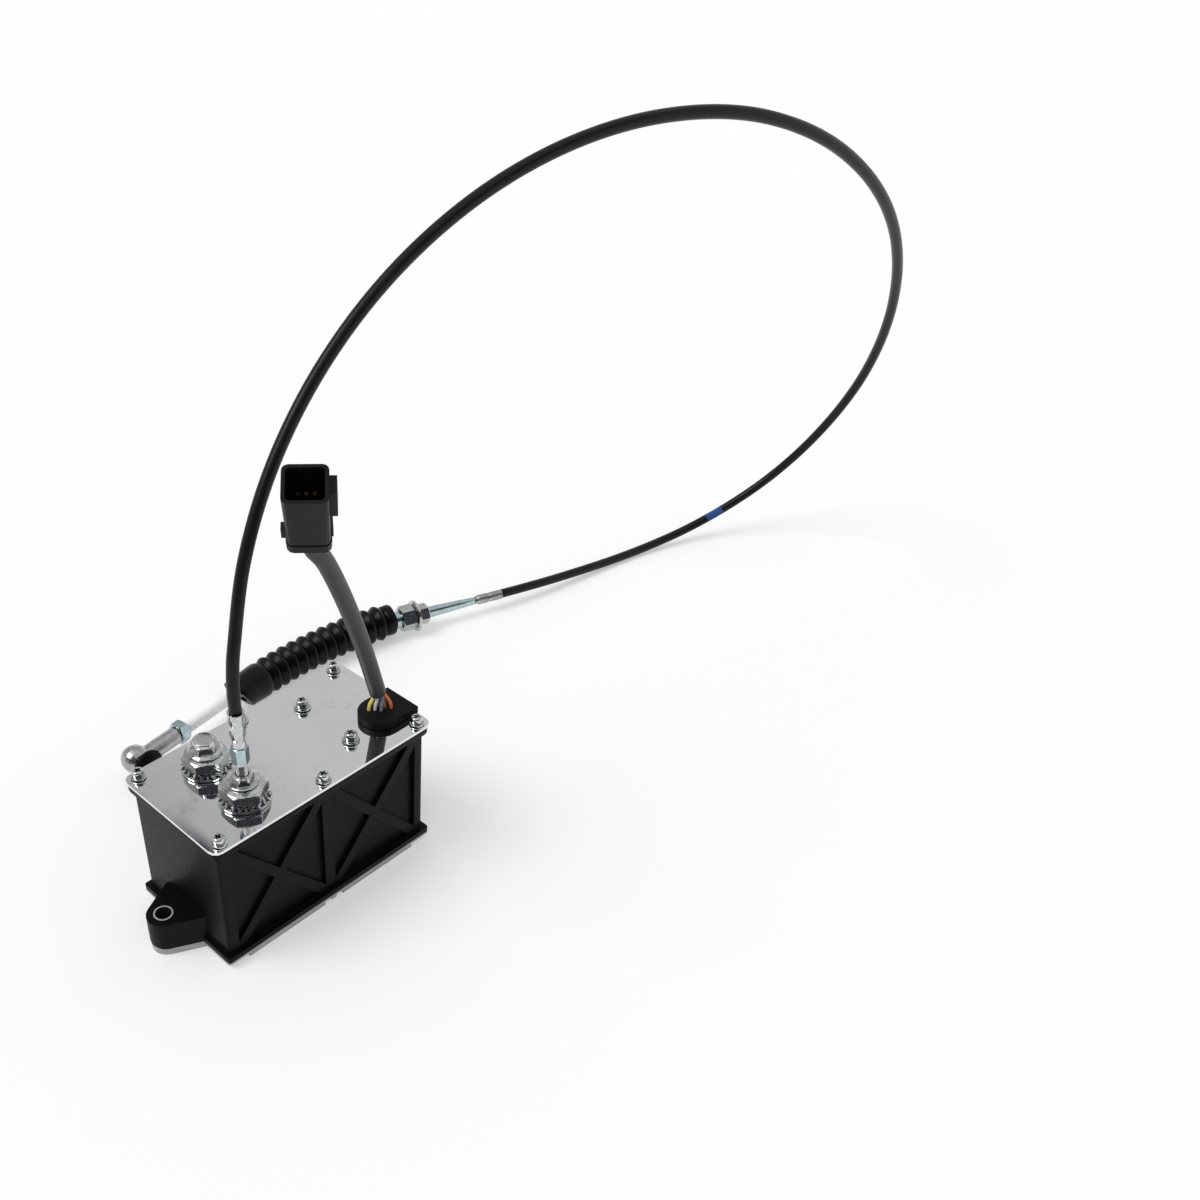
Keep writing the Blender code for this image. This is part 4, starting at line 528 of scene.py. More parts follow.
# %% Harness sleeve
SLEEVE_DIAMETER = 0.0090
SLEEVE_ROUTE = (
    (0.0562, -0.0133, 0.0984),
    (0.0461, -0.0161, 0.1281),
    (0.0336, -0.0215, 0.1573),
    (0.0190, -0.0285, 0.1861),
    (0.0065, -0.0344, 0.2078),
    (-0.0020, -0.0372, 0.2190),
    (-0.0055, -0.0394, 0.2263),
)
sleeve_line = smooth_route(SLEEVE_ROUTE)
sleeve = cord_curve("sleeve", sleeve_line, SLEEVE_DIAMETER, SLEEVE)
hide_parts("harness_sheath")

# %% [markdown]
# Six thin wires leave the grommet in a bundle and go into the sleeve. One striped piece could
# stand for them, but the gaps between them show. Each is a smooth curve from its own hole in the
# grommet to its own place in the sleeve's mouth, so they fan out and cross a little. Below the
# hole a straight stretch goes on inside the box.

# %% Wires
WIRE_DIAMETER = 0.0019
WIRE_FOOT = 0.0881
WIRE_ROOTS = {
    "yellow": (0.0516, -0.0112, 150),
    "white": (0.0542, -0.0132, 210),
    "grey": (0.0560, -0.0160, 270),
    "brown": (0.0592, -0.0150, 30),
    "orange": (0.0614, -0.0180, 330),
    "blue": (0.0575, -0.0114, 90),
}
WIRE_CIRCLE = 0.0027
WIRE_REACH = 0.005
WIRE_HIDDEN = (0.052, 0.012)
MOUTH_GAP = 0.0006
WIRE_STEPS = 12
mouth = Vector(SLEEVE_ROUTE[0])
sleeve_way = (sleeve_line[1] - sleeve_line[0]).normalized()
across = sleeve_way.cross(Vector((0, 1, 0))).normalized()
beside = sleeve_way.cross(across)
for tint, (x, y, turn_degrees) in WIRE_ROOTS.items():
    angle = math.radians(turn_degrees)
    circle_way = math.cos(angle) * across + math.sin(angle) * beside
    goal = mouth - WIRE_CIRCLE * circle_way - sleeve_way * MOUTH_GAP
    root = Vector((x, y, WIRE_FOOT))
    lift = root + Vector((0, 0, WIRE_REACH))
    back = goal - sleeve_way * WIRE_REACH
    line = [root - Vector((0, 0, depth)) for depth in WIRE_HIDDEN]
    for i in range(WIRE_STEPS + 1):
        t = i / WIRE_STEPS
        line.append((1 - t) ** 3 * root + 3 * (1 - t) ** 2 * t * lift
                    + 3 * (1 - t) * t ** 2 * back + t ** 3 * goal)
    wire = cord_curve("lead_" + tint, line, WIRE_DIAMETER, WIRE_FINISH[tint], 4)
    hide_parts("wire_" + tint)
print("wires:", len(WIRE_ROOTS))

# %% [markdown]
# ## Housing, base and cover
# The box is one moulding with crossed ribs, a lip and two ears. Under it lies a rolled metal
# plate with two raised pads, and over it the polished cover with a thin rounded edge. All are
# softened copies of the frame's solids, so that their sizes stay true, and each has the radius
# of its own edges: small on sheet, larger on the plug and on the rubber grommet.

# %% Box and plates
softened("housing", "shell", PLASTIC, 0.00045, segments=3)
softened("base_plate", "base_sheet", ALUMINIUM, 0.00025)
softened("cover_plate", "lid", COVER, 0.00040, segments=3)
softened("connector_shell", "plug_body", PLUG_PLASTIC, 0.00050, segments=3)
softened("grommet", "grommet_pad", MATT_RUBBER, 0.0009, segments=4, angle=50.0)

# %% [markdown]
# ## Hardware on the cover
# Each port has a flat washer, a toothed washer and a large hexagon nut with a conical chamfer.
# Heights are read off the frame's own boxes, so that the pieces sit where the solids do. The flat
# washer and the nut are grown from rings. Teeth aren't round, so the toothed washer starts as a
# circle with gaps pulled in, gets its bore by an extrusion inwards and its thickness by one up,
# and its upper edge is drawn in, like the twisted teeth of a real one.

# %% Port washers and nuts
BORE_GAP = 0.0003
PORT_BORE = 0.0083
NUT_FLATS = 0.0220
NUT_STEM = 0.0080
NUT_BORES = {"plug": 0.0043, "cable": 0.0018}
WASHER_OUTER = 0.0135
WASHER_EASE = 0.00025
STAR_OUTER = 0.0133
TEETH = 22
TOOTH_GAP = 0.87
TOOTH_ROOT = 0.80
TOOTH_SLOPE = 0.91


def washer_stations(low, high, outer, inner):
    ease = WASHER_EASE
    return [(low, outer - ease, 0), (low + ease, outer, 0), (high - ease, outer, 0),
            (high, outer - ease, 0), (high, inner + ease, 0), (high - ease, inner, 0),
            (low + ease, inner, 0), (low, inner + ease, 0)]


def toothed_ring(low, high, outer, inner):
    shape = bmesh.new()
    bmesh.ops.create_circle(shape, segments=TEETH * 4, radius=outer)
    for corner in shape.verts:
        step = round(math.atan2(corner.co.y, corner.co.x) / (2 * math.pi) * TEETH * 4) % 4
        if step in (0, 3):
            corner.co *= TOOTH_GAP
    rim = bmesh.ops.extrude_edge_only(shape, edges=shape.edges[:])["geom"]
    for part in rim:
        if isinstance(part, bmesh.types.BMVert):
            part.co *= inner / part.co.length
    bmesh.ops.translate(shape, verts=shape.verts, vec=(0, 0, low))
    raised = bmesh.ops.extrude_face_region(shape, geom=shape.faces[:], use_keep_orig=True)["geom"]
    raised = [part for part in raised if isinstance(part, bmesh.types.BMVert)]
    bmesh.ops.translate(shape, verts=raised, vec=(0, 0, high - low))
    middle = (low + high) / 2
    for corner in shape.verts:
        if corner.co.xy.length > outer * TOOTH_ROOT and corner.co.z > middle:
            corner.co.xy *= TOOTH_SLOPE
    return shape


for kind in ("plug", "cable"):
    low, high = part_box(kind + "_port_nut")
    middle = Vector(((low.x + high.x) / 2, (low.y + high.y) / 2, 0.0))
    place = Matrix.Translation(middle)
    wash_low, wash_high = (corner.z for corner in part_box(kind + "_flat_washer"))
    star_low, star_high = (corner.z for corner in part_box(kind + "_star_washer"))
    flat_ring = grown(washer_stations(wash_low, wash_high, WASHER_OUTER, PORT_BORE), 96, True)
    placed(flat_ring, kind + "_plain_washer", ZINC, stands_for=[kind + "_flat_washer"],
           place=place)
    placed(toothed_ring(star_low, star_high, STAR_OUTER, PORT_BORE), kind + "_toothed_washer",
           ZINC, stands_for=[kind + "_star_washer"], place=place, sharp=20.0)
    bore = NUT_BORES[kind]
    stem = [(low.z, bore, 0), (low.z, NUT_STEM, 0), (star_high + BORE_GAP, NUT_STEM, 0)]
    stations = nut_stations(star_high + BORE_GAP, high.z, NUT_FLATS, 0)
    crown = [(high.z, bore + BORE_LEAD, 0), (high.z - BORE_LEAD, bore, 0)]
    placed(grown([*stem, *stations, *crown], 72, True), kind + "_hex_nut", ZINC,
           stands_for=[kind + "_port_nut"], place=place, sharp=30.0)

# %% [markdown]
# The second port is closed by a flanged bolt. It could be four pieces pushed into each other.
# Here its shank, its flange, the hexagon of its head and the round crown with a dished top are
# one row of rings, and only the hexagon's name flats.

# %% Plug bolt
low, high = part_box("plug_bolt")
middle = Matrix.Translation(((low.x + high.x) / 2, (low.y + high.y) / 2, 0.0))
BOLT_SHANK = 0.0040
BOLT_FLATS = 0.0134
BOLT_CORNER = 0.0076
BOLT_CROWN = 0.0060
FLANGE_LOW = 0.0936
bolt_shank = [(low.z, 0.0036, 0), (low.z + 0.0006, BOLT_SHANK, 0), (FLANGE_LOW, BOLT_SHANK, 0)]
bolt_flange = [(FLANGE_LOW, 0.0088, 0), (FLANGE_LOW + 0.0004, 0.0090, 0),
               (FLANGE_LOW + 0.0010, 0.0089, 0), (FLANGE_LOW + 0.0015, 0.0083, 0)]
bolt_hexagon = [(FLANGE_LOW + 0.0019, BOLT_CORNER, BOLT_FLATS), (0.0990, BOLT_CORNER, BOLT_FLATS),
                (0.0995, 0.0072, BOLT_FLATS), (0.0999, 0.0068, BOLT_FLATS)]
bolt_crown = [(0.1001, BOLT_CROWN + 0.0002, 0), (0.1009, BOLT_CROWN, 0),
              (0.1013, BOLT_CROWN - 0.0002, 0), (0.1015, BOLT_CROWN - 0.0006, 0),
              (0.1014, BOLT_CROWN - 0.0010, 0), (0.1010, BOLT_CROWN - 0.0013, 0),
              (0.1009, 0.0030, 0), (0.1009, 0.0010, 0)]
bolt = [*bolt_shank, *bolt_flange, *bolt_hexagon, *bolt_crown]
placed(grown(bolt, 72), "plug_screw", ZINC, stands_for=["plug_bolt"], place=middle,
       sharp=28.0)

# %% [markdown]
# The cable's fitting has a flanged lock nut, a threaded stud, a pale hexagon coupling and a
# ferrule crimped in two bands. A crimp is a short hexagon pressed into a round tube, so its
# stations switch the flats on and off.

# %% Cable fitting
low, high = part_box("cable_lock_nut")
port = Matrix.Translation((*CABLE_ROUTE[0][:2], 0.0))
LOCK_FLATS = 0.0100
LOCK_CORNER = 0.0058
LOCK_BORE = 0.0033
lock = [(low.z, 0.0074, 0), (low.z + 0.0003, 0.0076, 0), (low.z + 0.0008, 0.0076, 0),
        (low.z + 0.0011, 0.0072, 0), (low.z + 0.0013, LOCK_CORNER, LOCK_FLATS),
        (high.z - 0.0007, LOCK_CORNER, LOCK_FLATS), (high.z - 0.0003, 0.0054, LOCK_FLATS),
        (high.z, 0.0049, LOCK_FLATS), (high.z, 0.0036, 0), (high.z - 0.0004, LOCK_BORE, 0),
        (low.z, LOCK_BORE, 0)]
placed(grown(lock, 72, True), "lock_nut", ZINC, stands_for=["cable_lock_nut"], place=port,
       sharp=28.0)


def thread_stations(low, high, radius, pitch=0.0010, depth=0.00045):
    count = int((high - low) / pitch)
    made = []
    for i in range(count):
        base = low + (high - low) * i / count
        rise = (high - low) / count
        made += [(base, radius - depth, 0), (base + rise * 0.40, radius, 0),
                 (base + rise * 0.60, radius, 0)]
    return made


low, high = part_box("cable_fitting")
STUD = 0.0030
COUPLING = (0.10715, 0.11665)
COUPLING_FLATS = 0.0080
fitting = [(low.z, STUD - 0.0006, 0),
           *thread_stations(low.z + 0.0004, COUPLING[0] - 0.0010, STUD),
           (COUPLING[0] - 0.0008, STUD - 0.0002, 0), (COUPLING[0], STUD, 0)]
placed(grown(fitting, 48), "cable_stud", ZINC, place=port, sharp=50.0)
sleeve_bands = [(COUPLING[1], 0.0028, 0)]
band_low = COUPLING[1] + 0.0002
# Start and end as shares of the ferrule, then radius and width across flats.
BANDS = ((0.00, 0.10, 0.00345, 0), (0.14, 0.24, 0.00330, 0), (0.30, 0.56, 0.00420, 0.0070),
         (0.62, 0.66, 0.00340, 0), (0.70, 0.94, 0.00425, 0.0072))
span = high.z - 0.0004 - band_low
for start, end, radius, flats in BANDS:
    sleeve_bands += [(band_low + span * start, radius, flats),
                     (band_low + span * end, radius, flats)]
sleeve_bands += [(high.z - 0.0009, 0.0037, 0), (high.z - 0.0005, 0.0041, 0),
                 (high.z - 0.0001, 0.0043, 0), (high.z, 0.0042, 0), (high.z, 0.0036, 0)]
placed(grown(sleeve_bands, 72), "cable_crimp", ZINC, stands_for=["cable_fitting"],
       place=port, sharp=32.0)
placed(grown(nut_stations(*COUPLING, COUPLING_FLATS, 0)), "cable_coupling", BLUE_ZINC,
       place=port, sharp=30.0)

# %% [markdown]
# ## Cover screws
# Six small screws hold the cover and two larger ones hold the motor's bracket. A dark cross
# could be painted on their heads, but it would look flat from the side. Two tapered blocks cut a
# real recess through boolean modifiers, whose result is read back as the screw's own mesh.

# %% Recess helper
def blank_object(shape):
    bmesh.ops.recalc_face_normals(shape, faces=shape.faces)
    mesh = bpy.data.meshes.new("blank")
    shape.to_mesh(mesh)
    shape.free()
    made = bpy.data.objects.new("blank", mesh)
    bpy.context.scene.collection.objects.link(made)
    return made


def carved(body_shape, tool_shapes):
    body = blank_object(body_shape)
    tools = [blank_object(shape) for shape in tool_shapes]
    for tool in tools:
        cutting = body.modifiers.new("cut", "BOOLEAN")
        cutting.object = tool
        cutting.solver = "EXACT"
    result = bmesh.new()
    result.from_object(body, bpy.context.evaluated_depsgraph_get())
    for blank in (body, *tools):
        bpy.data.objects.remove(blank)
    return result


# How far the block that cuts a slot narrows to its foot, along and across.
SLOT_TAPER = (0.35, 0.75)


def slot_cutter(top, length, width, depth, turn_now):
    shape = bmesh.new()
    made = bmesh.ops.create_cube(shape, size=1.0)["verts"]
    bmesh.ops.scale(shape, vec=(length, width, depth * 2), verts=made)
    for corner in made:
        if corner.co.z < 0:
            corner.co.x *= SLOT_TAPER[0]
            corner.co.y *= SLOT_TAPER[1]
    bmesh.ops.rotate(shape, cent=(0, 0, 0), matrix=Matrix.Rotation(turn_now, 3, "Z"), verts=made)
    bmesh.ops.translate(shape, vec=(0, 0, top), verts=made)
    return shape


# %% [markdown]
# The two kinds of screw differ only in their radii. Each is grown as a shank, a collar and a tall
# domed head, whose rings are mostly shares of its height and radius, so one row draws both.

# %% Screws
def screw_stations(low, top, seat, head, collar, shank):
    rise = top - seat
    under = [(low, shank * 0.8, 0), (low + 0.0004, shank, 0), (seat - 0.0008, shank, 0),
             (seat - 0.0008, collar, 0), (seat - 0.0006, collar + 0.0001, 0),
             (seat - 0.0001, collar, 0), (seat, collar - 0.0003, 0)]
    dome = [(seat, head * 0.97, 0), (seat + rise * 0.08, head, 0), (seat + rise * 0.62, head, 0),
            (seat + rise * 0.78, head * 0.97, 0), (seat + rise * 0.90, head * 0.88, 0),
            (seat + rise * 0.97, head * 0.74, 0), (top, head * 0.50, 0)]
    return [*under, *dome]


COVER_TOP = 0.0833
COLLAR_RISE = 0.0011
CROSS_TURN = math.radians(20)
SLOT_LENGTH = 1.74
SLOT_WIDTH = 0.42
SLOT_DEPTH = 0.0026
# Kind, how many, and the radii of head, collar and shank.
SCREWS = (("cover", 6, 0.0031, 0.0040, 0.0013), ("frame", 2, 0.0034, 0.0047, 0.0020))
for kind, count, head, collar, shank in SCREWS:
    for number in range(1, count + 1):
        node = f"{kind}_screw_{number}"
        low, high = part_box(node)
        middle = Matrix.Translation(((low.x + high.x) / 2, (low.y + high.y) / 2, 0.0))
        seat = COVER_TOP + COLLAR_RISE
        blank = grown(screw_stations(low.z, high.z, seat, head, collar, shank), 40)
        slots = [slot_cutter(high.z, head * SLOT_LENGTH, head * SLOT_WIDTH, SLOT_DEPTH,
                             turn_now + CROSS_TURN) for turn_now in (0.0, math.pi / 2)]
        placed(carved(blank, slots), f"{kind}_fixing_{number}", ZINC, stands_for=[node],
               place=middle, sharp=30.0)

# %% [markdown]
# ## Far fitting
# The cable ends in a ferrule with two knurled crimps, a tapered bar, and a threaded hub that a
# bracket clamps between two nuts. It lies along its own axis. Its objects could be turned, but
# finished pieces stay unturned, so their meshes are grown upright and stood on that axis.

# %% Far fitting
HUB_PLACE = (0.2152, 0.1159, 0.0120)
HUB_AXIS = (0.9482, -0.3172, -0.0180)
hub = standing(HUB_PLACE, HUB_AXIS)
HUB_THREAD = 0.0050
HUB_BORE = 0.0053
hub_collar = [(-0.0190, 0.0056, 0), (-0.0187, 0.0060, 0), (-0.0158, 0.0060, 0),
              (-0.0156, HUB_THREAD, 0)]
hub_taper = [(0.0070, 0.0046, 0), (0.0074, 0.0040, 0), (0.0200, 0.0036, 0), (0.0320, 0.0031, 0),
             (0.0418, 0.0027, 0), (0.0432, 0.0025, 0), (0.0438, 0.0022, 0)]
bar = [*hub_collar, *thread_stations(-0.0154, 0.0066, HUB_THREAD), *hub_taper]
placed(grown(bar, 48), "hub_bar", BLUE_ZINC, stands_for=["far_hub"], place=hub,
       sharp=45.0)
placed(grown(washer_stations(-0.0040, -0.0021, 0.0108, HUB_BORE), 96, True), "hub_disc", ZINC,
       stands_for=["hub_washer"], place=hub)
HUB_NUTS = (("near_nut", "hub_nut_inner", -0.0149, -0.0042, 0.0158),
            ("outer_nut", "hub_nut_outer", -0.0019, 0.0060, 0.0128))
for name, node, low_z, high_z, flats in HUB_NUTS:
    placed(grown(nut_stations(low_z, high_z, flats, HUB_BORE), 72, True), name, ZINC,
           stands_for=[node], place=hub, sharp=30.0)

# %% [markdown]
# The ferrule is pressed onto the cable in two bands of narrow grooves. Bump could draw them, but
# they also break the ferrule's outline, so each groove is a real ring, lower than the two beside
# it.

# %% Far ferrule
CRIMP_RADIUS = 0.0034
KNURL_RADIUS = 0.00315
KNURL_HALF = 0.0002
KNURLS = 9
crimp = [(0.0441, 0.0022, 0), (0.0443, 0.0026, 0), (0.0462, 0.0028, 0), (0.0466, 0.0031, 0)]
for start, end in ((0.0468, 0.0545), (0.0570, 0.0655)):
    crimp.append((start, CRIMP_RADIUS, 0))
    for i in range(KNURLS):
        here = start + (end - start) * (i + 0.5) / KNURLS
        crimp += [(here - KNURL_HALF, CRIMP_RADIUS, 0), (here, KNURL_RADIUS, 0),
                  (here + KNURL_HALF, CRIMP_RADIUS, 0)]
    crimp += [(end, CRIMP_RADIUS, 0), (end + 0.0004, 0.0028, 0)]
crimp += [(0.0660, 0.0030, 0), (0.0662, 0.0028, 0)]
placed(grown(crimp, 48), "cable_ferrule", CASTING, stands_for=["far_ferrule"], place=hub,
       sharp=45.0)

# %% [markdown]
# ## Bellows
# A rubber sleeve keeps dirt off the rod, and at the ball joint's end it has a smooth cuff with a
# slanted mouth. It could be a straight tube that a modifier bends. Frames along a gentle bend do
# it in one go, and also lean the mouth and let it lie to one side, since it is wider than the rod.

# %% Bellows line
CUFF_END = Vector((0.06033, 0.13156, 0.0123))
LEFT_ANGLE = math.radians(-8.0)
RIGHT_ANGLE = math.radians(16.0)
ROD_AXIS = Vector((-math.cos(LEFT_ANGLE), math.sin(LEFT_ANGLE), 0.0))
CUFF_LENGTH = 0.0140
ARC_LENGTH = 0.1242
BARREL_LENGTH = 0.03074
FOLDS = 12
NECK_LENGTH = 0.0070
FOLD_STEPS = 8
CREST = 0.0122
VALLEY = 0.0092
INNER = 0.0079
CUFF_INNER = 0.0068
MOUTH = 0.0060
MOUTH_LEAN = math.radians(30)
LEAN_REACH = 0.0160
SAG = 0.0022
TOTAL = CUFF_LENGTH + ARC_LENGTH
ARC_PARTS = 48


def bellows_frame(run):
    # A frame across the sleeve's line: straight in the cuff, then one arc to the hub.
    angle = LEFT_ANGLE
    point = CUFF_END - ROD_AXIS * min(run, CUFF_LENGTH)
    if run > CUFF_LENGTH:
        piece = (run - CUFF_LENGTH) / ARC_PARTS
        bend = (RIGHT_ANGLE - LEFT_ANGLE) / ARC_LENGTH
        for i in range(ARC_PARTS):
            angle = LEFT_ANGLE + bend * piece * (i + 0.5)
            point = point + Vector((math.cos(angle), -math.sin(angle), 0.0)) * piece
        angle = LEFT_ANGLE + bend * (run - CUFF_LENGTH)
    point.y -= SAG * (1.0 - run / TOTAL)
    lean = MOUTH_LEAN * max(0.0, 1.0 - max(0.0, run - MOUTH) / LEAN_REACH)
    way = (math.cos(angle), -math.sin(angle), 0.0)
    return standing(point, way) @ Matrix.Rotation(lean, 4, "Y")


print("sleeve's line:", round(TOTAL, 4), "m")

# %% [markdown]
# The wall is one loop of rings: the cuff, the folds, the neck on the hub, and back along the
# inside. A fold's height is half a sine and half a straight ramp, for a narrow crest and a tight
# valley.

# %% Bellows folds
cuff = [(MOUTH, 0.0102), (MOUTH + 0.0004, 0.0111), (MOUTH + 0.0012, 0.0117),
        (MOUTH + 0.0024, 0.0118), (MOUTH + 0.0040, 0.0115), (0.0150, 0.0115), (0.0190, 0.0116),
        (0.0230, 0.0118), (0.0265, 0.0119), (0.0282, 0.0114), (0.0296, 0.0102)]
fold = (TOTAL - NECK_LENGTH - BARREL_LENGTH) / FOLDS
folded = []
for i in range(FOLDS):
    for step in range(FOLD_STEPS):
        share = step / FOLD_STEPS
        lift = 0.5 * math.sin(math.pi * share) + 0.5 * (1.0 - abs(1.0 - 2.0 * share))
        folded.append((BARREL_LENGTH + fold * (i + share), VALLEY + (CREST - VALLEY) * lift))
neck = [(TOTAL - NECK_LENGTH, VALLEY), (TOTAL - NECK_LENGTH + 0.0010, 0.0104),
        (TOTAL - 0.0012, 0.0107), (TOTAL - 0.0003, 0.0104), (TOTAL, 0.0098)]
inside = [(TOTAL, INNER), (TOTAL * 0.66, INNER), (TOTAL * 0.33, INNER), (0.0280, INNER),
          (0.0240, CUFF_INNER), (MOUTH + 0.0012, CUFF_INNER), (MOUTH, 0.0072)]
rings = [*cuff, *folded, *neck, *inside]
stations = [(0.0, radius, 0) for run, radius in rings]
sleeve_shape = grown(stations, 56, True, [bellows_frame(run) for run, radius in rings])
boot = placed(sleeve_shape, "folded_sleeve", RUBBER, body=None, stands_for=["bellows"],
              sharp=60.0)
hub_end = bellows_frame(TOTAL - NECK_LENGTH).translation
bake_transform(boot)
print("folds:", FOLDS, "each", round(1000 * fold, 1), "mm")

# %% [markdown]
# ## Rod and ball joint
# The ground rod screws into a cast socket, locked by a nut. Rod and nut are rings again. The
# socket's neck flows into a round head, which rings can't draw, so a copy of the frame's solid
# is remeshed and smoothed until the joins look cast.

# %% Rod, nut and socket
rod_frame = standing(CUFF_END, ROD_AXIS)
ROD_RADIUS = 0.0040
ROD_NUT = (0.0405, 0.0470)
ROD_NUT_FLATS = 0.0130
ROD_NUT_BORE = 0.0043
rod_line = [(-0.0240, 0.0036, 0), (-0.0236, ROD_RADIUS, 0), (0.0390, ROD_RADIUS, 0),
            (0.0394, 0.0037, 0), *thread_stations(0.0396, 0.0570, ROD_RADIUS),
            (0.0573, 0.0034, 0)]
placed(grown(rod_line, 48), "ground_rod", CHROME, body="rod", stands_for=["push_rod"],
       place=rod_frame, sharp=45.0)
placed(grown(nut_stations(*ROD_NUT, ROD_NUT_FLATS, ROD_NUT_BORE), 72, True), "rod_nut",
       BLUE_ZINC, body="rod", stands_for=["jam_nut"], place=rod_frame, sharp=30.0)
CAST_VOXEL = 0.00040
CAST_ROUNDS = 6


def cast_copy(node, name, material, body):
    shape = merged_copy(node)
    mesh = bpy.data.meshes.new("blank")
    shape.to_mesh(mesh)
    shape.free()
    blank = bpy.data.objects.new("blank", mesh)
    bpy.context.scene.collection.objects.link(blank)
    remesh = blank.modifiers.new("skin", "REMESH")
    remesh.mode = "VOXEL"
    remesh.voxel_size = CAST_VOXEL
    result = bmesh.new()
    result.from_object(blank, bpy.context.evaluated_depsgraph_get())
    bpy.data.objects.remove(blank)
    for i in range(CAST_ROUNDS):
        bmesh.ops.smooth_vert(result, verts=result.verts, factor=0.5, use_axis_x=True,
                              use_axis_y=True, use_axis_z=True)
    placed(result, name, material, body=body, stands_for=[node], sharp=60.0)


cast_copy("rod_end", "ball_socket", CASTING, "rod")

# %% [markdown]
# A rubber disc seals the socket's mouth, and the ball's threaded stud comes out of it. The ball
# itself is hidden in the socket, and is grown from rings as a globe is from its parallels.

# %% Dust boot and stud
BALL_PLACE = CUFF_END + ROD_AXIS * 0.0785
STUD_WAY = Vector((-ROD_AXIS.y, ROD_AXIS.x, 0.0))
ball_frame = standing(BALL_PLACE, STUD_WAY)
seal = [(0.0072, 0.0066, 0), (0.0074, 0.0100, 0), (0.0078, 0.0106, 0), (0.0086, 0.0108, 0),
        (0.0098, 0.0107, 0), (0.0104, 0.0102, 0), (0.0110, 0.0085, 0), (0.0118, 0.0064, 0),
        (0.0122, 0.0057, 0), (0.0122, 0.0036, 0), (0.0072, 0.0036, 0)]
placed(grown(seal, 64, True), "seal_disc", MATT_RUBBER, body="rod",
       stands_for=["dust_boot"], place=ball_frame, sharp=50.0)
BALL_RADIUS = 0.0060
BALL_STEPS = 12
PIN_RADIUS = 0.0032
stud = [(-0.0058, 0.0015, 0)]
for i in range(1, BALL_STEPS - 2):
    turn_now = -math.pi / 2 + math.pi * i / BALL_STEPS
    stud.append((BALL_RADIUS * math.sin(turn_now), BALL_RADIUS * math.cos(turn_now), 0))
stud += [(0.0056, PIN_RADIUS, 0), (0.0122, PIN_RADIUS, 0),
         *thread_stations(0.0124, 0.0200, PIN_RADIUS), (0.0205, 0.0026, 0)]
placed(grown(stud, 48), "ball_pin", ZINC, body="stud", stands_for=["ball_stud"],
       place=ball_frame, sharp=45.0)

# %% [markdown]
# ## Everything that stays as it is
# Bushes, inner drive and board have the right shape already, so nothing is built over them. They
# get the finish of their slot, apart from the plug's terminals, whose brass is nearly black, and
# the bushes. These keep the steel's tone on the rim and are painted dark down the bore as painted
# shade: their colour changes with height.

# %% Finishes of the frame's own nodes
BY_SLOT = {"plastic": PLASTIC, "gasket": GASKET, "cover": COVER, "aluminium": ALUMINIUM,
           "zinc": ZINC, "chrome": CHROME, "rubber": RUBBER, "sheath": SLEEVE,
           "cable_jacket": JACKET, "brass": BRASS, "nylon": NYLON, "board": LAMINATE}
BY_SLOT.update({"wire_" + tint: made for tint, made in WIRE_FINISH.items()})
RIM_TONE = (0.55, 0.55, 0.56)
# How far below the rim the painted shade of the bore begins and ends.
SHADE_FROM_RIM = (0.0003, 0.0001)


# Painted shade: the bush is near black, and only its top, by the rim, blends to the steel's tone.
def bore_shade_finish(rim):
    made = finish("tube_steel_shaded_bore", (0.030, 0.030, 0.031), (0.018, 0.018, 0.019), (0.45, 0.60),
                  metallic=0.6, patch=0.0030)
    tree = made.node_tree
    shader = tree.nodes["Principled BSDF"]
    where = tree.nodes.new("ShaderNodeTexCoord")
    split = tree.nodes.new("ShaderNodeSeparateXYZ")
    tree.links.new(where.outputs["Object"], split.inputs["Vector"])
    base = shader.inputs["Base Color"].links[0].from_socket
    edge = spread(tree, split.outputs["Z"], 0.0, 1.0, rim - SHADE_FROM_RIM[0], rim - SHADE_FROM_RIM[1])
    tree.links.new(blended(tree, edge, base, RIM_TONE), shader.inputs["Base Color"])
    return made


# The ear bushes get painted shade down their bores.
BORE_SHADED_STEEL = bore_shade_finish(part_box("ear_bush_left")[1].z)
# The plug's terminals get the nearly black brass.
OWN_FINISH = {"connector_terminals": NEAR_BLACK_BRASS, "ear_bush_left": BORE_SHADED_STEEL,
              "ear_bush_right": BORE_SHADED_STEEL}
for part in frame["record"]["subparts"]:
    mesh = nodes[part["node"]].data
    mesh.materials.clear()
    mesh.materials.append(OWN_FINISH.get(part["node"], BY_SLOT[part["material_slot"]]))

# %% [markdown]
# ## The cords
# The cable and the harness sleeve are the free cords, and their names are printed here.

# %% Cords
print("cords:", cable.name, sleeve.name)

# %% [markdown]
# ## Floor
# A plain white sheet under the object takes its soft shadow. Rays from the camera, and those
# that a mirror or glass sends on, see a slightly darker sheet with a little glow of its own.
# Together these come out white with a paler shadow, and the light that the floor throws on the
# object stays as it was.

# %% Floor
FLOOR_RADIUS = 8.0
FLOOR_TONE = (0.80, 0.80, 0.80)
SEEN_TONE = (0.66, 0.66, 0.66)
FLOOR_GLOW = 0.36
floor_shape = bmesh.new()
bmesh.ops.create_circle(floor_shape, cap_ends=True, segments=96, radius=FLOOR_RADIUS)
floor_mesh = bpy.data.meshes.new("floor")
floor_shape.to_mesh(floor_mesh)
floor_shape.free()
floor = bpy.data.objects.new("floor", floor_mesh)
bpy.context.scene.collection.objects.link(floor)


def seen_rays(tree):
    path = tree.nodes.new("ShaderNodeLightPath")
    value = path.outputs["Is Camera Ray"]
    for other in ("Is Glossy Ray", "Is Transmission Ray"):
        value = crossed(tree, value, path.outputs[other], "MAXIMUM")
    return value


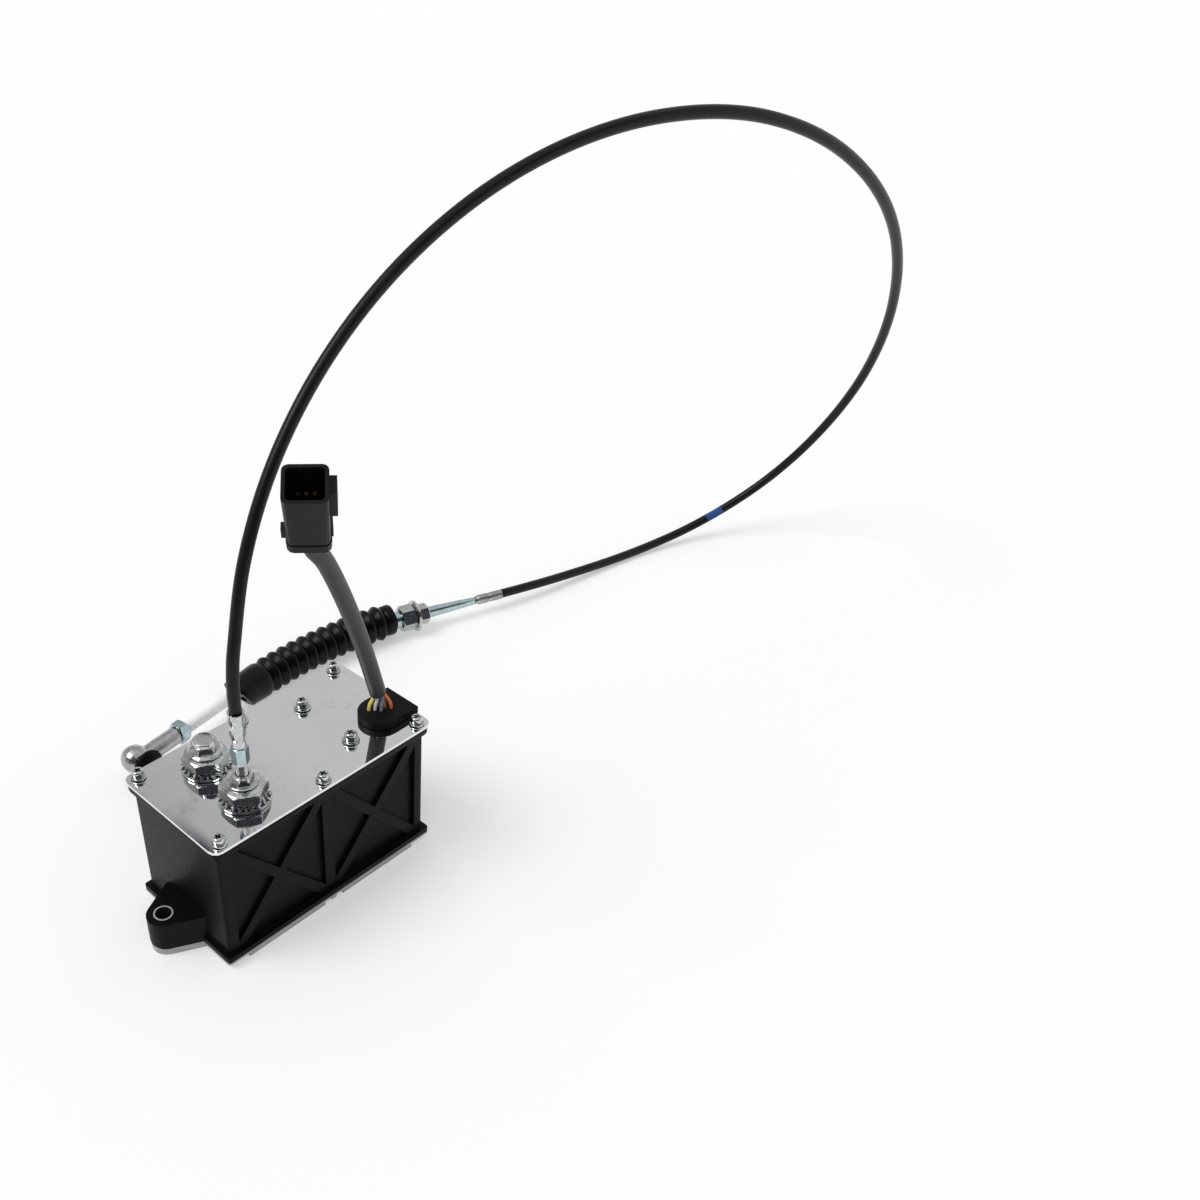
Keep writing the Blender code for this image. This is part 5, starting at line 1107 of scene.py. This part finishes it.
paper = bpy.data.materials.new("white_paper")
paper.use_nodes = True
paper_shader = paper.node_tree.nodes["Principled BSDF"]
paper_shader.inputs["Roughness"].default_value = 0.9
paper_shader.inputs["Specular IOR Level"].default_value = 0.0
tone = blended(paper.node_tree, seen_rays(paper.node_tree), FLOOR_TONE, SEEN_TONE)
paper.node_tree.links.new(tone, paper_shader.inputs["Base Color"])
paper_shader.inputs["Emission Color"].default_value = (1.0, 1.0, 1.0, 1.0)
glow = spread(paper.node_tree, seen_rays(paper.node_tree), 0.0, FLOOR_GLOW, 0.0, 1.0)
paper.node_tree.links.new(glow, paper_shader.inputs["Emission Strength"])
floor_mesh.materials.append(paper)
print("floor:", 2 * FLOOR_RADIUS, "m across")

# %% [markdown]
# ## World
# The world lights the object at a plain level and looks white to the camera. Polished metal
# mirrors a studio instead of an even glow: pale low down, grey higher up, and pale again
# overhead. Its tone is read from the direction's height by a colour ramp.

# %% World
WORLD_LEVEL = 0.62
STOPS = ((0.00, 1.00), (0.10, 1.00), (0.30, 0.78), (0.55, 0.60), (0.72, 0.62), (0.84, 1.00),
         (1.00, 1.00))
world = bpy.data.worlds.new("studio")
bpy.context.scene.world = world
world.use_nodes = True
tree = world.node_tree
backdrop = tree.nodes["Background"]
level_mix = tree.nodes.new("ShaderNodeMapRange")
level_mix.inputs["To Min"].default_value = WORLD_LEVEL
level_mix.inputs["To Max"].default_value = 1.0
tree.links.new(seen_rays(tree), level_mix.inputs["Value"])
tree.links.new(level_mix.outputs["Result"], backdrop.inputs["Strength"])
where = tree.nodes.new("ShaderNodeTexCoord")
split = tree.nodes.new("ShaderNodeSeparateXYZ")
ramp = tree.nodes.new("ShaderNodeValToRGB")
tree.links.new(where.outputs["Generated"], split.inputs["Vector"])
tree.links.new(split.outputs["Z"], ramp.inputs["Fac"])
while len(ramp.color_ramp.elements) < len(STOPS):
    ramp.color_ramp.elements.new(0.5)
for element, (position, value) in zip(ramp.color_ramp.elements, STOPS):
    element.position = position
    element.color = (value, value, value, 1.0)
print("world stops:", len(STOPS))

# %% [markdown]
# The studio is dark on the camera's side, and the cover's near corner mirrors the edge of that.
# Dark cards could stand there, but they would throw shadows. The dark room is a range of
# directions instead, cut off to one side, in depth and above. Each edge is where the tone
# changes, from its first number to its second: a slope to the side and in depth, and a height at
# the top.

# %% Dark room
SIDE_EDGE = (0.540, 0.556)
DEEP_EDGE = (0.90, 0.98)
TOP_EDGE = (0.72, 0.80)
ROOM_TONE = (0.045, 0.048, 0.060)
FADE_EDGE = (0.54, 0.72)
FADE_LEVEL = 0.74
sideways = crossed(tree, split.outputs["X"], split.outputs["Z"], "DIVIDE")
deep = crossed(tree, split.outputs["Y"], split.outputs["Z"], "DIVIDE")
room = crossed(tree, spread(tree, sideways, 1.0, 0.0, *SIDE_EDGE),
               spread(tree, deep, 1.0, 0.0, *DEEP_EDGE), "MULTIPLY")
room = crossed(tree, room, spread(tree, split.outputs["Z"], 1.0, 0.0, *TOP_EDGE), "MULTIPLY")
faded = spread(tree, sideways, FADE_LEVEL, 1.0, *FADE_EDGE)
toned = blended(tree, faded, (0.0, 0.0, 0.0), ramp.outputs["Color"])
mirrored = blended(tree, room, toned, ROOM_TONE)
path = tree.nodes.new("ShaderNodeLightPath")
sky = blended(tree, path.outputs["Is Glossy Ray"], (1.0, 1.0, 1.0), mirrored)
tree.links.new(sky, backdrop.inputs["Color"])
print("dark room tone:", ROOM_TONE)

# %% [markdown]
# ## Lamp
# One broad sun from the left and a little behind throws the soft shadow to the right. A wide
# angle stands for a large soft box, and a small energy keeps the black plastic black.

# %% Lamp
SUN_ENERGY = 1.35
SUN_WIDTH = math.radians(32)
SUN_FROM = Vector((-0.85, 0.45, 1.25))
sun = bpy.data.lights.new("key_sun", "SUN")
sun.energy = SUN_ENERGY
sun.angle = SUN_WIDTH
key = bpy.data.objects.new("key_sun", sun)
bpy.context.scene.collection.objects.link(key)
key.rotation_euler = SUN_FROM.to_track_quat("Z", "Y").to_euler()
bpy.context.scene.view_settings.view_transform = "Standard"
print("sun:", SUN_ENERGY, "W/m2 from", tuple(SUN_FROM))

# %% [markdown]
# ## End

# %% End
print("scene built")
